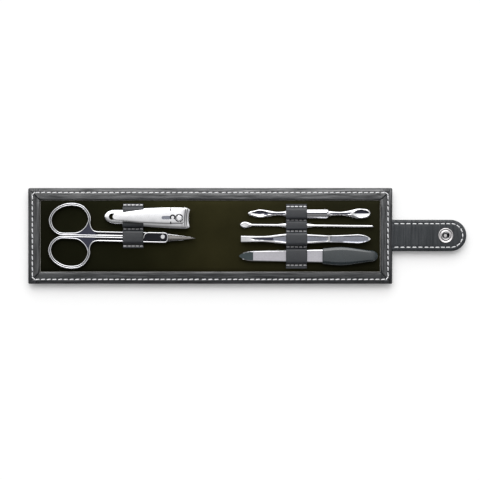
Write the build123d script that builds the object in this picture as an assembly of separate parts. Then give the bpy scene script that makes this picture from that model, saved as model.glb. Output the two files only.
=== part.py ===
from build123d import *
import math
import os

# Folding manicure case: two stiff panels and a spine that fold like a book, a snap strap,
# and six hand tools, each held in a leather loop. Millimetres, +Z up, case lying open.
# Origin: centre of the spine, on the outside face of the cover.

# ---------------------------------------------------------------- case sizes
case_half_length = 111.3
case_half_width = 29.3
border_width = 7.3
skin = 0.9                  # leatherette thickness
board = 1.2                 # stiffener
foam = 0.6
lining_base = 0.4           # velvet where it is tucked under the border
lining_puff = 0.8           # how far the padded field stands over the tucked margin
spine_width = 12.2          # between the two fold lines
fold_gap = 0.15             # each piece stops this far from its fold line
edge_round = 1.1            # outer edges of the cover
corner_round = 1.4          # plan corners of the cover
field_inset = 0.4           # lining field to border

# ---------------------------------------------------------------- stitching
edge_stitch_inset = 2.8
edge_stitch_pitch = 3.45
edge_stitch_length = 2.6
edge_stitch_width = 0.9
stitch_height = 0.12
loop_stitch_length = 1.9
loop_stitch_width = 0.6
loop_stitches = 5

# ---------------------------------------------------------------- strap and snap
strap_width = 19.2
strap_y = 0.3
strap_reach = 45.3          # from the case edge to the rounded end
strap_core = 0.8
strap_edge_gap = 0.5        # case edge to the first strap fold
strap_root_length = 11.8    # tongue sewn into the panel
strap_stitch_inset = 2.4
strap_stitch_pitch = 3.4
strap_bottom = 0.2
socket_to_end = 12.8        # socket centre to the rounded end
socket_radius = 4.65
socket_proud = 0.7
socket_barrel_radius = 3.1
socket_hole_radius = 2.2
cap_radius = 5.2
cap_proud = 0.6
stud_flange_radius = 4.4
stud_flange = 0.35
stud_neck_radius = 1.4
stud_knob_radius = 2.05
stud_reach = 2.3            # knob tip below the cover
stud_neck_length = 0.85
snap_gap = 0.1
spring_wire_radius = 0.17
spring_clearance = 0.06

# ---------------------------------------------------------------- loops
loop_leather = 0.7
loop_fit = 0.15             # tool to loop
loop_corner = 0.5
left_loop_start, left_loop_end = -53.2, -40.7
left_strip_low, left_strip_high = -7.3, 19.8
right_loop_start, right_loop_end = 46.2, 59.0
right_strip_low, right_strip_high = -19.8, 19.5

# ---------------------------------------------------------------- levels worked out
board_bottom = skin
board_top = board_bottom + board
foam_top = board_top + foam
lining_tuck = foam_top + lining_base
border_top = lining_tuck + skin
field_top = lining_tuck + lining_puff
tool_clearance = 0.3        # tools above the lining field
tool_bottom = field_top + tool_clearance
fold_x = spine_width / 2
fold_z = border_top
closed_height = spine_width + 2 * fold_z
panel_start = fold_x + fold_gap
spine_half = fold_x - fold_gap
strap_thickness = 2 * skin + strap_core
strap_top = strap_bottom + strap_thickness
strap_fold_x = case_half_length + strap_edge_gap
tab_closed_z = closed_height + stud_flange + snap_gap + socket_proud
riser_length = tab_closed_z - strap_top
tab_fold_x = strap_fold_x + riser_length
strap_end = case_half_length + strap_reach
socket_x = strap_end - socket_to_end
stud_x = -(strap_fold_x - (socket_x - tab_fold_x))
stud_y = strap_y

# ---------------------------------------------------------------- scissors
scissors_start = -98.9      # outermost point of the rings
scissors_axis_y = 0.42
scissors_tilt = -1.15
ring_wire = 1.85
ring_thickness = 1.7
ring_top_y = 18.2
shank_low, shank_high = 0.12, 3.15
shank_start, shank_end = 8.0, 62.0
screw_along = 70.1
screw_across = 0.5
screw_radius = 0.8
screw_head_radius = 1.3
screw_head = 0.4
screw_fit = 0.05
half_thickness = 1.5
half_split = 0.03           # each half stops this far from the shear plane
plate_reach = 12.0          # plate's rounded end about the screw
plate_clearance = 0.25
plate_half_width = 3.25
plate_nose = 3.4            # plate beyond the screw
plate_rim = 1.0
plate_recess = 0.45
blade_end = 90.2
blade_base_half = 2.2
blade_shoulder, blade_waist = 80.0, 86.5
blade_tip_half = 0.1

# ---------------------------------------------------------------- nail clipper
clipper_tail = -64.2
clipper_tail_y = 11.9
clipper_tilt = -1.32
clipper_length = 51.9
leaf = 1.2
clipper_mid_along, clipper_mid_half = 24.4, 5.5
clipper_jaw_half = 6.3
clipper_jaw_chamfer = 1.2
tail_hole_along, tail_hole_radius = 5.3, 1.9
rivet_along = 9.6
rivet_radius = 1.1
rivet_head_radius = 1.9
rivet_head = 0.4
rivet_fit = 0.1
leaf_play = 0.1             # between the two leaves at the rivet
leaf_rise_start = 11.8      # leaves lie together from the tail to here, past the rivet head
leaf_rise_end = 40.0
upper_leaf_top = 5.7        # above the lower leaf's underside
jaw_bend = 47.2
jaw_gap = 1.4
edge_height = 2.4           # cutting edge of the lower leaf above its underside
jaw_edge = 0.35
post_along = 45.5
post_radius = 1.6
post_fit = 0.15
post_foot_radius = 2.3
post_foot = 0.6
lever_gap = 0.3
lever_plate = 1.2
lever_tip_x, lever_tip_y = -59.0, 11.6
lever_end_x, lever_end_y = -16.0, 12.15
lever_tip_half, lever_root_half = 2.2, 4.9
lever_pin_radius = 0.35
lever_pin_length = 5.4
lever_pin_fit = 0.05
lever_nose_lift = 0.75
post_proud = 0.5
keyhole_radius = 1.1
keyhole_back = 3.9

# ---------------------------------------------------------------- cuticle pusher
pusher_start, pusher_end, pusher_y = 23.1, 97.5, 13.7
pusher_shaft_start, pusher_shaft_end = 46.6, 71.4
pusher_shaft_half = 2.8
pusher_thickness = 3.0
pusher_neck = 1.25
scoop_half = 2.5
scoop_widest = 30.4
scoop_foot, scoop_neck = 35.0, 40.7
spoon_half = 3.0
spoon_neck, spoon_foot = 79.2, 84.0
spoon_start, spoon_shoulder = 87.6, 94.6
pusher_blade = 1.3

# ---------------------------------------------------------------- ear pick
pick_start, pick_end = 18.2, 99.3
pick_start_y, pick_end_y = 6.8, 5.9
pick_wire = 0.8
pick_scoop_length, pick_scoop_half = 6.7, 1.95
pick_flat_start, pick_flat_end, pick_flat_half = 44.5, 60.5, 1.3
pick_flat_thickness = 1.2

# ---------------------------------------------------------------- tweezers
tweezers_start, tweezers_end, tweezers_y = 18.8, 97.5, -1.8
arm_plate = 1.0
arm_spread = 5.0            # over both arms, outside
tip_half, waist_half, shoulder_half, belly_half = 1.9, 1.7, 3.0, 3.25
waist_x, shoulder_x, belly_x, bend_x = 31.6, 45.6, 52.0, 71.9
bend_half, tail_half, tail_widest_x = 2.15, 2.75, 89.5
arm_parallel_x = 60.0
arm_flex_gap = 0.15

# ---------------------------------------------------------------- nail file
file_start, file_end, file_y = 17.6, 102.1, -12.2
file_blade = 0.9
file_tip_half, file_root_half = 3.0, 3.85
file_point_x = 25.9
grit_end_x = 68.4
grit = 0.08
handle_start_x = 68.5
handle_root_half, handle_widest_half, handle_end_half = 4.75, 5.55, 2.6
handle_widest_x = 79.2
handle_thickness = 4.0
tang_length = 16.0


# ================================================================ small helpers
def block(x0, x1, y0, y1, z0, z1):
    return Pos((x0 + x1) / 2, (y0 + y1) / 2, (z0 + z1) / 2) * Box(x1 - x0, y1 - y0, z1 - z0)


def rod(x, y, z0, z1, radius):
    return Pos(x, y, (z0 + z1) / 2) * Cylinder(radius, z1 - z0)


def plate(outline, z0, z1):
    return Pos(0, 0, z0) * extrude(outline, z1 - z0)


def smooth_face(*points):
    return make_face(Spline(*points, periodic=True))


def side_profile(points, half_depth):
    """Solid whose XZ outline is the given polygon, centred on y = 0."""
    face = make_face(Polyline(*[(x, 0, z) for x, z in points], close=True))
    return extrude(face, half_depth, both=True)


def joined(solids):
    return Compound(children=list(solids))


parts = {}


# ================================================================ the case
def cover_shell(x0, x1, closed_left, closed_right):
    """Leatherette wrapped under, round the edges of and over the margin of one panel."""
    y = case_half_width
    shell = block(x0, x1, -y, y, 0, border_top)
    outer_corners = [
        e for e in shell.edges().filter_by(Axis.Z)
        if (closed_left and abs(e.center().X - x0) < 0.01)
        or (closed_right and abs(e.center().X - x1) < 0.01)
    ]
    if outer_corners:
        shell = fillet(outer_corners, corner_round)
    rims = [
        e for e in shell.edges()
        if not e.is_closed and abs(e.center().Z - border_top / 2) > border_top / 2 - 0.01
        and not (not closed_left and abs(e.center().X - x0) < 0.01)
        and not (not closed_right and abs(e.center().X - x1) < 0.01)
    ]
    shell = fillet(rims, edge_round)
    in0 = x0 + skin if closed_left else x0 - 1
    in1 = x1 - skin if closed_right else x1 + 1
    shell -= block(in0, in1, -y + skin, y - skin, skin, lining_tuck)
    w0 = x0 + border_width if closed_left else x0 - 1
    w1 = x1 - border_width if closed_right else x1 + 1
    shell -= block(w0, w1, -y + border_width, y - border_width, lining_tuck - 1, border_top + 1)
    return shell


def inner_layer(x0, x1, closed_left, closed_right, z0, z1):
    in0 = x0 + skin if closed_left else x0
    in1 = x1 - skin if closed_right else x1
    y = case_half_width - skin
    return block(in0, in1, -y, y, z0, z1)


def lining_layer(x0, x1, closed_left, closed_right):
    base = inner_layer(x0, x1, closed_left, closed_right, foam_top, lining_tuck)
    inset = border_width + field_inset
    f0 = x0 + inset if closed_left else x0
    f1 = x1 - inset if closed_right else x1
    y = case_half_width - inset
    field = block(f0, f1, -y, y, lining_tuck, field_top)
    rim = [
        e for e in field.faces().sort_by(Axis.Z)[-1].edges()
        if not (not closed_left and abs(e.center().X - x0) < 0.01)
        and not (not closed_right and abs(e.center().X - x1) < 0.01)
    ]
    return base + chamfer(rim, lining_puff / 2)


def stitch_run(start, end, pitch, length, width, z):
    """Evenly spaced stitches along a straight seam."""
    a, b = Vector(*start), Vector(*end)
    span = (b - a).length
    count = max(1, int(span / pitch + 0.5))
    angle = math.degrees(math.atan2(b.Y - a.Y, b.X - a.X))
    step = span / count
    bead = Box(min(length, step * 0.8), width, stitch_height)
    for i in range(count):
        p = a + (b - a) * ((i + 0.5) / count)
        yield Pos(p.X, p.Y, z + stitch_height / 2) * Rot(0, 0, angle) * bead


def panel_stitching(x0, x1, side):
    """Seam round three sides of a panel; side is +1 or -1 for its closed end."""
    y = case_half_width - edge_stitch_inset
    outer = side * (case_half_length - edge_stitch_inset)
    inner = side * (panel_start + fold_gap)
    turn = edge_stitch_pitch / 2
    seams = [
        ((inner, y), (outer - side * turn, y)),
        ((outer, y - turn), (outer, -y + turn)),
        ((outer - side * turn, -y), (inner, -y)),
    ]
    for a, b in seams:
        yield from stitch_run(a, b, edge_stitch_pitch, edge_stitch_length, edge_stitch_width, border_top)


def spine_stitching():
    y = case_half_width - edge_stitch_inset
    x = spine_half - fold_gap
    for row in (y, -y):
        yield from stitch_run(
            (-x, row), (x, row), edge_stitch_pitch, edge_stitch_length, edge_stitch_width, border_top
        )


root_z0 = board_bottom
root_z1 = board_top
root_x0 = case_half_length - strap_root_length
strap_low, strap_high = strap_y - strap_width / 2, strap_y + strap_width / 2


def make_case():
    for side, name in ((-1, "left"), (1, "right")):
        closed = (side < 0, side > 0)
        x0, x1 = sorted((side * panel_start, side * case_half_length))
        cover = cover_shell(x0, x1, *closed)
        stiffener = inner_layer(x0, x1, *closed, board_bottom, board_top)
        if side > 0:
            notch = block(root_x0, case_half_length + 1, strap_low, strap_high, root_z0, root_z1)
            cover -= notch
            stiffener -= notch
        else:
            bore = rod(stud_x, stud_y, -1, board_top, socket_hole_radius)
            cover -= bore
            stiffener -= bore
        parts[name + "_cover"] = cover
        parts[name + "_board"] = stiffener
        parts[name + "_foam"] = inner_layer(x0, x1, *closed, board_top, foam_top)
        parts[name + "_lining"] = lining_layer(x0, x1, *closed)
        parts[name + "_edge_stitching"] = joined(panel_stitching(x0, x1, side))
    flat = (-spine_half, spine_half, False, False)
    parts["spine_cover"] = cover_shell(*flat)
    parts["spine_board"] = inner_layer(*flat, board_bottom, board_top)
    parts["spine_foam"] = inner_layer(*flat, board_top, foam_top)
    parts["spine_lining"] = lining_layer(*flat)
    parts["spine_stitching"] = joined(spine_stitching())


# ================================================================ strap and snap
def strap_outline(x0, x1, inset=0.0):
    """Plan of the strap between two places, with its rounded end where x1 reaches it."""
    half = strap_width / 2 - inset
    if x1 < strap_end - strap_width:
        return Pos((x0 + x1) / 2, strap_y) * Rectangle(x1 - x0, 2 * half)
    centre = strap_end - strap_width / 2
    bar = Pos((x0 + centre) / 2, strap_y) * Rectangle(centre - x0, 2 * half)
    return bar + Pos(centre, strap_y) * Circle(half)


def strap_layers(prefix, x0, x1, socket):
    levels = [
        ("outer_leather", strap_bottom, strap_bottom + skin, 0.0),
        ("core", strap_bottom + skin, strap_top - skin, 0.6),
        ("inner_leather", strap_top - skin, strap_top, 0.0),
    ]
    for label, z0, z1, inset in levels:
        layer = plate(strap_outline(x0, x1, inset), z0, z1)
        if socket:
            layer -= rod(socket_x, strap_y, strap_bottom - 1, strap_top + 1, socket_barrel_radius)
        parts[prefix + "_" + label] = layer


def tab_stitching():
    x0 = tab_fold_x + 2 * fold_gap
    centre = strap_end - strap_width / 2
    half = strap_width / 2 - strap_stitch_inset
    size = (strap_stitch_pitch, edge_stitch_length, edge_stitch_width, strap_top)
    for side in (1, -1):
        row = strap_y + side * half
        yield from stitch_run((x0, row), (centre, row), *size)
    turns = round(math.pi * half / strap_stitch_pitch)
    bead = Box(edge_stitch_length, edge_stitch_width, stitch_height)
    for i in range(turns):
        angle = -90 + 180 * (i + 0.5) / turns
        x = centre + half * math.cos(math.radians(angle))
        y = strap_y + half * math.sin(math.radians(angle))
        yield Pos(x, y, strap_top + stitch_height / 2) * Rot(0, 0, angle + 90) * bead


def riser_stitching():
    half = strap_width / 2 - strap_stitch_inset
    x0, x1 = strap_fold_x + 2 * fold_gap, tab_fold_x - 2 * fold_gap
    for side in (1, -1):
        row = strap_y + side * half
        yield from stitch_run(
            (x0, row), (x1, row), strap_stitch_pitch, edge_stitch_length, edge_stitch_width, strap_top
        )


def make_strap():
    parts["strap_root"] = block(
        root_x0, strap_fold_x - fold_gap, strap_low, strap_high, root_z0, root_z1
    )
    strap_layers("riser", strap_fold_x + fold_gap, tab_fold_x - fold_gap, False)
    parts["riser_stitching"] = joined(riser_stitching())
    strap_layers("tab", tab_fold_x + fold_gap, strap_end, True)
    parts["tab_stitching"] = joined(tab_stitching())
    # Snap socket: flange on the strap's inside, barrel through it, closed by the cap outside.
    face = strap_top + socket_proud
    socket = rod(socket_x, strap_y, strap_top, face, socket_radius)
    socket = fillet(socket.faces().sort_by(Axis.Z)[-1].edges(), socket_proud * 0.6)
    socket += rod(socket_x, strap_y, strap_bottom, strap_top, socket_barrel_radius)
    hole_floor = face - snap_gap - (stud_reach - stud_flange) - 2 * snap_gap
    socket -= rod(socket_x, strap_y, hole_floor, face + 1, socket_hole_radius)
    neck_mid = face + snap_gap - stud_neck_length / 2
    leg = stud_neck_radius + spring_clearance + spring_wire_radius
    reach = math.sqrt((socket_hole_radius + 0.5) ** 2 - leg ** 2)
    legs = [
        Pos(socket_x, strap_y + s * leg, neck_mid) * Rot(0, 90, 0)
        * Cylinder(spring_wire_radius, 2 * reach)
        for s in (1, -1)
    ]
    for wire in legs:
        socket -= wire
    parts["snap_socket"] = socket
    parts["snap_spring"] = joined(legs)
    cap = rod(socket_x, strap_y, strap_bottom - cap_proud, strap_bottom, cap_radius)
    parts["snap_cap"] = fillet(cap.faces().sort_by(Axis.Z)[0].edges(), cap_proud * 0.7)
    # Stud under the left panel, held by a post riveted through cover and stiffener.
    stud = rod(stud_x, stud_y, -stud_flange, 0, stud_flange_radius)
    stud += rod(stud_x, stud_y, -stud_flange - stud_neck_length, -stud_flange, stud_neck_radius)
    knob = rod(stud_x, stud_y, -stud_reach, -stud_flange - stud_neck_length, stud_knob_radius)
    stud += fillet(knob.faces().sort_by(Axis.Z)[0].edges(), 0.5)
    parts["snap_stud"] = stud
    parts["snap_post"] = rod(stud_x, stud_y, 0, board_top, socket_hole_radius)


# ================================================================ leather loops
def arch(x0, x1, y0, y1, height, grow):
    """Bar with rounded shoulders that a loop is bent over (grow = 0) or fills (grow > 0)."""
    bar = block(x0, x1, y0 - grow, y1 + grow, field_top, height + grow)
    shoulders = bar.faces().sort_by(Axis.Z)[-1].edges().filter_by(Axis.X)
    return fillet(shoulders, loop_corner + grow)


def loop_strip(x0, x1, low, high, arches):
    strip = block(x0, x1, low, high, field_top, field_top + loop_leather)
    for y0, y1, height in arches:
        strip += arch(x0, x1, y0, y1, height, loop_leather)
    for y0, y1, height in arches:
        strip -= arch(x0 - 1, x1 + 1, y0, y1, height, 0)
        strip -= block(x0 - 1, x1 + 1, y0, y1, field_top - 1, field_top + loop_leather)
    return strip


def loop_rows(x0, x1, rows):
    z = field_top + loop_leather
    pitch = (x1 - x0) / loop_stitches
    for row in rows:
        yield from stitch_run((x0, row), (x1, row), pitch, loop_stitch_length, loop_stitch_width, z)


def clipper_centre(x):
    return clipper_tail_y + (x - clipper_tail) * math.tan(math.radians(clipper_tilt))


def scissors_centre(x):
    return scissors_axis_y + (x - scissors_start) * math.tan(math.radians(scissors_tilt))


def pick_centre(x):
    return pick_start_y + (x - pick_start) * (pick_end_y - pick_start_y) / (pick_end - pick_start)


fit = loop_fit
scissors_arch = (
    scissors_centre(left_loop_end) - plate_half_width - fit,
    scissors_centre(left_loop_start) + plate_half_width + fit,
    tool_bottom + 2 * half_thickness + fit,
)
leaf_pair = 2 * leaf + leaf_play
leaf_slope = (upper_leaf_top - leaf_pair) / (leaf_rise_end - leaf_rise_start)
clipper_top_at_loop = tool_bottom + leaf_pair + leaf_slope * (
    left_loop_end - clipper_tail - leaf_rise_start
)
clipper_arch = (
    clipper_centre(left_loop_end) - clipper_mid_half - fit,
    clipper_centre(left_loop_start) + clipper_mid_half + fit,
    clipper_top_at_loop + fit,
)
pick_y = pick_centre((right_loop_start + right_loop_end) / 2)
pusher_arch = (
    pusher_y - pusher_shaft_half - fit,
    pusher_y + pusher_shaft_half + fit,
    tool_bottom + pusher_thickness + fit,
)
pick_arch = (
    pick_y - pick_scoop_half - fit,
    pick_y + pick_scoop_half + fit,
    tool_bottom + 2 * pick_wire + 0.4 + fit,
)
tweezers_arch = (
    tweezers_y - belly_half - fit,
    tweezers_y + belly_half + fit,
    tool_bottom + arm_spread + fit,
)
file_arch = (
    file_y - file_root_half - fit,
    file_y + file_root_half + fit,
    tool_bottom + (handle_thickness + file_blade) / 2 + grit + fit,
)


def middle(lower, upper):
    """Half way along the flat leather between two neighbouring loops."""
    return (lower[1] + upper[0]) / 2


clipper_scissors_row = middle(scissors_arch, clipper_arch)


def make_loops():
    x0, x1 = left_loop_start, left_loop_end
    seam = clipper_scissors_row
    parts["clipper_loop"] = loop_strip(x0, x1, seam, left_strip_high, [clipper_arch])
    parts["scissor_loop"] = loop_strip(x0, x1, left_strip_low, seam, [scissors_arch])
    top_row = (clipper_arch[1] + loop_leather + left_strip_high) / 2
    low_row = (scissors_arch[0] - loop_leather + left_strip_low) / 2
    parts["left_loop_stitching"] = joined(loop_rows(x0, x1, (top_row, seam, low_row)))
    x0, x1 = right_loop_start, right_loop_end
    arches = [file_arch, tweezers_arch, pick_arch, pusher_arch]
    parts["right_loop_strip"] = loop_strip(x0, x1, right_strip_low, right_strip_high, arches)
    rows = [(file_arch[0] - loop_leather + right_strip_low) / 2 + 0.6]
    rows += [middle(a, b) for a, b in zip(arches, arches[1:])]
    rows += [(pusher_arch[1] + loop_leather + right_strip_high) / 2 - 0.5]
    parts["right_loop_stitching"] = joined(loop_rows(x0, x1, rows))


# ================================================================ scissors
def scissors_frame(z=0.0):
    return Pos(scissors_start, scissors_axis_y, z) * Rot(0, 0, scissors_tilt)


def ring_points():
    """Egg-shaped finger hole, flat beside the shank, listed clockwise."""
    top, low = ring_top_y, shank_low + ring_wire
    return [
        (2.4, 9.9), (4.2, 13.8), (7.3, 16.3), (10.9, top - 0.4), (15.2, top), (19.5, top - 0.9),
        (22.5, 14.7), (24.2, 11.1), (23.9, 8.3), (21.9, 5.0), (18.3, low + 0.5),
        (13.4, low), (7.9, low + 0.1), (4.8, 3.8), (2.9, 6.5),
    ]


def grown(points, distance):
    """The same closed outline moved outwards, square to the chord of each point's neighbours."""
    count = len(points)
    for i, (x, y) in enumerate(points):
        (ax, ay), (bx, by) = points[i - 1], points[(i + 1) % count]
        reach = math.hypot(bx - ax, by - ay)
        yield x - distance * (by - ay) / reach, y + distance * (bx - ax) / reach


def ring_and_shank():
    hole = smooth_face(*ring_points())
    rim = smooth_face(*grown(ring_points(), ring_wire))
    shank = Pos((shank_start + shank_end) / 2, (shank_low + shank_high) / 2) * Rectangle(
        shank_end - shank_start, shank_high - shank_low
    )
    crotch = (26.0, 8.2)
    foot = (30.2, shank_high)
    web = make_face([
        ThreePointArc(crotch, (26.9, 5.0), foot),
        Line(foot, (foot[0], shank_low)),
        Line((foot[0], shank_low), (shank_start + 4, shank_low)),
        Line((shank_start + 4, shank_low), crotch),
    ])
    across = Pos(shank_end / 2, shank_low - ring_top_y) * Rectangle(2 * shank_end, 2 * ring_top_y)
    return rim + shank + web - hole - across


def blade_outline():
    base = blade_base_half
    upper = [
        (screw_along, base), (blade_shoulder, base * 0.68), (blade_waist, base * 0.32),
        (blade_end, blade_tip_half),
    ]
    lower = [(x, -half) for x, half in reversed(upper)]
    return make_face(Polyline(*upper, *lower, close=True))


def pivot_outline(inset=0.0):
    half = plate_half_width - inset
    x1 = screw_along + plate_nose - inset
    x0 = screw_along - plate_reach + inset
    body = Pos((x0 + x1) / 2, 0) * Rectangle(x1 - x0, 2 * half)
    nose = body.vertices().sort_by(Axis.X)[-2:]
    return fillet(nose, half * 0.75) & (Pos(screw_along, 0) * Circle(plate_reach - inset))


def scissors_half(ring_side, layer):
    """One half: ring on one side of the axis, plate and blade above or below the shear plane."""
    bow = ring_and_shank()
    bow = plate(bow, -ring_thickness / 2, ring_thickness / 2)
    if ring_side < 0:
        bow = mirror(bow, Plane.XZ)
    bow -= rod(screw_along, 0, -ring_thickness, half_split, plate_reach + plate_clearance)
    blade = plate(pivot_outline() + blade_outline(), half_split, half_thickness)
    half = bow + blade
    if layer < 0:
        half = mirror(half, Plane.XY)
    bore = screw_radius + (screw_fit if layer > 0 else 0)
    half -= rod(screw_along, screw_across, -5, 5, bore)
    if layer > 0:
        half -= plate(pivot_outline(plate_rim), half_thickness - plate_recess, half_thickness + 1)
    return half


def make_scissors():
    place = scissors_frame(tool_bottom + half_thickness)
    parts["scissor_top_half"] = place * scissors_half(-1, 1)
    parts["scissor_base_half"] = place * scissors_half(1, -1)
    floor = half_thickness - plate_recess + half_split
    screw = rod(screw_along, screw_across, -half_thickness, floor, screw_radius)
    head = rod(screw_along, screw_across, floor, floor + screw_head, screw_head_radius)
    head = fillet(head.faces().sort_by(Axis.Z)[-1].edges(), 0.15)
    parts["scissor_screw"] = place * (screw + head)


# ================================================================ nail clipper
def clipper_frame():
    return Pos(clipper_tail, clipper_tail_y, tool_bottom) * Rot(0, 0, clipper_tilt)


def clipper_outline():
    jaw, mid = clipper_jaw_half, clipper_mid_half
    x1 = clipper_length
    side = [(0, 0), (2.4, 3.1), (10.4, 4.2), (clipper_mid_along, mid), (40.0, jaw - 0.1)]
    shoulder = (x1 - 2.4, jaw)
    corner = (x1, jaw - clipper_jaw_chamfer)
    top = Spline(*side, shoulder, tangents=((0, 1), (1, 0)))
    low = Spline(*[(x, -y) for x, y in side], (shoulder[0], -jaw), tangents=((0, -1), (1, 0)))
    return make_face([
        top,
        Line(shoulder, corner),
        ThreePointArc(corner, (x1 - 0.9, 0), (corner[0], -corner[1])),
        Line((corner[0], -corner[1]), (shoulder[0], -jaw)),
        low,
    ])


def leaf_solid(profile):
    return plate(clipper_outline(), -1, 12) & side_profile(profile, 12)


def make_clipper():
    place = clipper_frame()
    x1 = clipper_length + 0.5
    edge = edge_height
    lower = leaf_solid([
        (-1, 0), (jaw_bend - 0.4, 0), (x1, edge - jaw_edge), (x1, edge), (x1 - 1.9, edge),
        (jaw_bend - 0.8, leaf), (-1, leaf),
    ])
    seat = leaf + leaf_play
    top = upper_leaf_top
    upper = leaf_solid([
        (-1, seat), (leaf_rise_start, seat), (leaf_rise_end, top - leaf), (jaw_bend - 0.8, top - leaf),
        (x1 - 1.9, edge + jaw_gap), (x1, edge + jaw_gap), (x1, edge + jaw_gap + jaw_edge),
        (jaw_bend - 0.4, top), (leaf_rise_end, top), (leaf_rise_start, leaf_pair), (-1, leaf_pair),
    ])
    eye = rod(tail_hole_along, 0, -1, 9, tail_hole_radius)
    lower -= eye + rod(rivet_along, 0, -1, 9, rivet_radius)
    upper -= eye + rod(rivet_along, 0, -1, 9, rivet_radius + rivet_fit)
    lower -= rod(post_along, 0, -1, 9, post_radius + post_fit)
    lower -= rod(post_along, 0, -1, post_foot + post_fit, post_foot_radius + post_fit)
    upper -= rod(post_along, 0, -1, 9, post_radius + 2 * post_fit)
    rivet_seat = leaf_pair + rivet_fit
    rivet = rod(rivet_along, 0, 0, rivet_seat, rivet_radius)
    rivet += rod(rivet_along, 0, rivet_seat, rivet_seat + rivet_head, rivet_head_radius)
    parts["clipper_lower_jaw"] = place * lower
    parts["clipper_upper_jaw"] = place * upper
    parts["clipper_rivet"] = place * rivet
    # Post that carries the lever: foot under the lower leaf, slotted head over the lever.
    lever_low = top + lever_gap
    lever_top = lever_low + lever_plate
    post_top = lever_top + post_proud
    pin_z = lever_top - lever_pin_radius - lever_pin_fit
    post = rod(post_along, 0, 0, post_foot, post_foot_radius)
    post += rod(post_along, 0, post_foot, post_top, post_radius)
    post = fillet(post.faces().sort_by(Axis.Z)[-1].edges(), 0.3)
    pin_bore = (
        Pos(post_along, 0, pin_z) * Rot(0, 0, lever_turn - clipper_tilt) * Rot(90, 0, 0)
        * Cylinder(lever_pin_radius + lever_pin_fit, 3 * post_radius)
    )
    parts["clipper_post"] = place * (post - pin_bore)
    centre = place * Pos(post_along, 0, 0)
    post_x, post_y = centre.position.X, centre.position.Y
    turn = Rot(0, 0, lever_turn)
    pin = Pos(post_x, post_y, tool_bottom + pin_z) * turn * Rot(90, 0, 0) * Cylinder(
        lever_pin_radius, lever_pin_length
    )
    parts["clipper_lever_pin"] = pin
    parts["clipper_lever"] = lever_solid(lever_low, lever_top, post_x, post_y) - pin


lever_turn = math.degrees(math.atan2(lever_end_y - lever_tip_y, lever_end_x - lever_tip_x))


def lever_solid(low, top, post_x, post_y):
    """Lever plate, tapered to a round thumb end, with its pivot slot, keyhole and thinned nose."""
    length = math.hypot(lever_end_x - lever_tip_x, lever_end_y - lever_tip_y)
    tip, root = lever_tip_half, lever_root_half
    side = [(tip, tip), (17.4, root * 0.81), (34.5, root)]
    corners = [(length, root), (length, -root)]
    outline = make_face([
        ThreePointArc((tip, -tip), (0, 0), (tip, tip)),
        Spline(*side, tangents=((1, 0.14), (1, 0))),
        Polyline(side[-1], *corners, (side[-1][0], -root)),
        Spline(*[(x, -y) for x, y in reversed(side)], tangents=((-1, 0), (-1, 0.14))),
    ])
    place = Pos(lever_tip_x, lever_tip_y, 0) * Rot(0, 0, lever_turn)
    local_post = place.inverse() * Pos(post_x, post_y, 0)
    px, py = local_post.position.X, local_post.position.Y
    thinned = [
        (-1, low), (px + 0.3, low), (length + 1, low + lever_nose_lift), (length + 1, top), (-1, top),
    ]
    solid = plate(outline, low - 1, top + 1) & side_profile(thinned, 12)
    slot = Pos(px, py) * SlotCenterToCenter(0.6, 2 * (post_radius + post_fit))
    solid -= plate(slot, low - 1, top + 1)
    solid -= rod(px - keyhole_back, py + 1.2, low - 1, top + 1, keyhole_radius)
    return Pos(0, 0, tool_bottom) * (place * solid)


# ================================================================ cuticle pusher
def make_pusher():
    def outline(sign):
        stations = [
            (scoop_widest - 4.2, scoop_half * 0.66), (scoop_widest, scoop_half),
            (scoop_foot, 1.95), (scoop_neck, pusher_neck),
            (pusher_shaft_start, pusher_neck + 0.35),
        ]
        return [(x, sign * h) for x, h in stations]

    scoop = make_face([
        Spline((pusher_start, 0), *outline(1)),
        Line(outline(1)[-1], outline(-1)[-1]),
        Spline((pusher_start, 0), *outline(-1)),
    ])
    ends = [
        (pusher_shaft_end, pusher_neck + 0.35), (spoon_neck, pusher_neck), (spoon_foot, 1.7),
        (spoon_start + 3.2, spoon_half), (spoon_shoulder, spoon_half * 0.8),
    ]
    spoon = make_face([
        Spline(*ends, (pusher_end, 0), tangents=((1, 0), (0, -1))),
        Spline(*[(x, -h) for x, h in ends], (pusher_end, 0), tangents=((1, 0), (0, 1))),
        Line((ends[0][0], ends[0][1]), (ends[0][0], -ends[0][1])),
    ])
    t, b = pusher_thickness / 2, pusher_blade / 2
    under = [
        (pusher_start - 1, -b), (scoop_foot, -b), (scoop_neck, -pusher_neck),
        (spoon_neck, -pusher_neck), (spoon_foot, -b), (pusher_end + 1, -b),
    ]
    side = side_profile(under + [(x, -z) for x, z in reversed(under)], 10)
    blades = (plate(scoop, -t, t) + plate(spoon, -t, t)) & side
    shaft = block(
        pusher_shaft_start, pusher_shaft_end, -pusher_shaft_half, pusher_shaft_half, -t, t
    )
    shaft = chamfer(shaft.edges().filter_by(Axis.X), 1.0)
    shaft = chamfer(shaft.faces().sort_by(Axis.X)[-1].edges(), 0.7)
    shaft = chamfer(shaft.faces().sort_by(Axis.X)[0].edges(), 0.7)
    bowl = Pos(spoon_start + 5.6, 0, b + 0.1) * scale(Sphere(1), by=(3.6, 2.2, 0.75))
    dish = Pos(scoop_widest, 0, b + 0.1) * scale(Sphere(1), by=(4.6, 1.7, 0.6))
    tool = blades + shaft - bowl - dish
    parts["cuticle_pusher"] = Pos(0, pusher_y, tool_bottom + t) * tool


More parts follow.
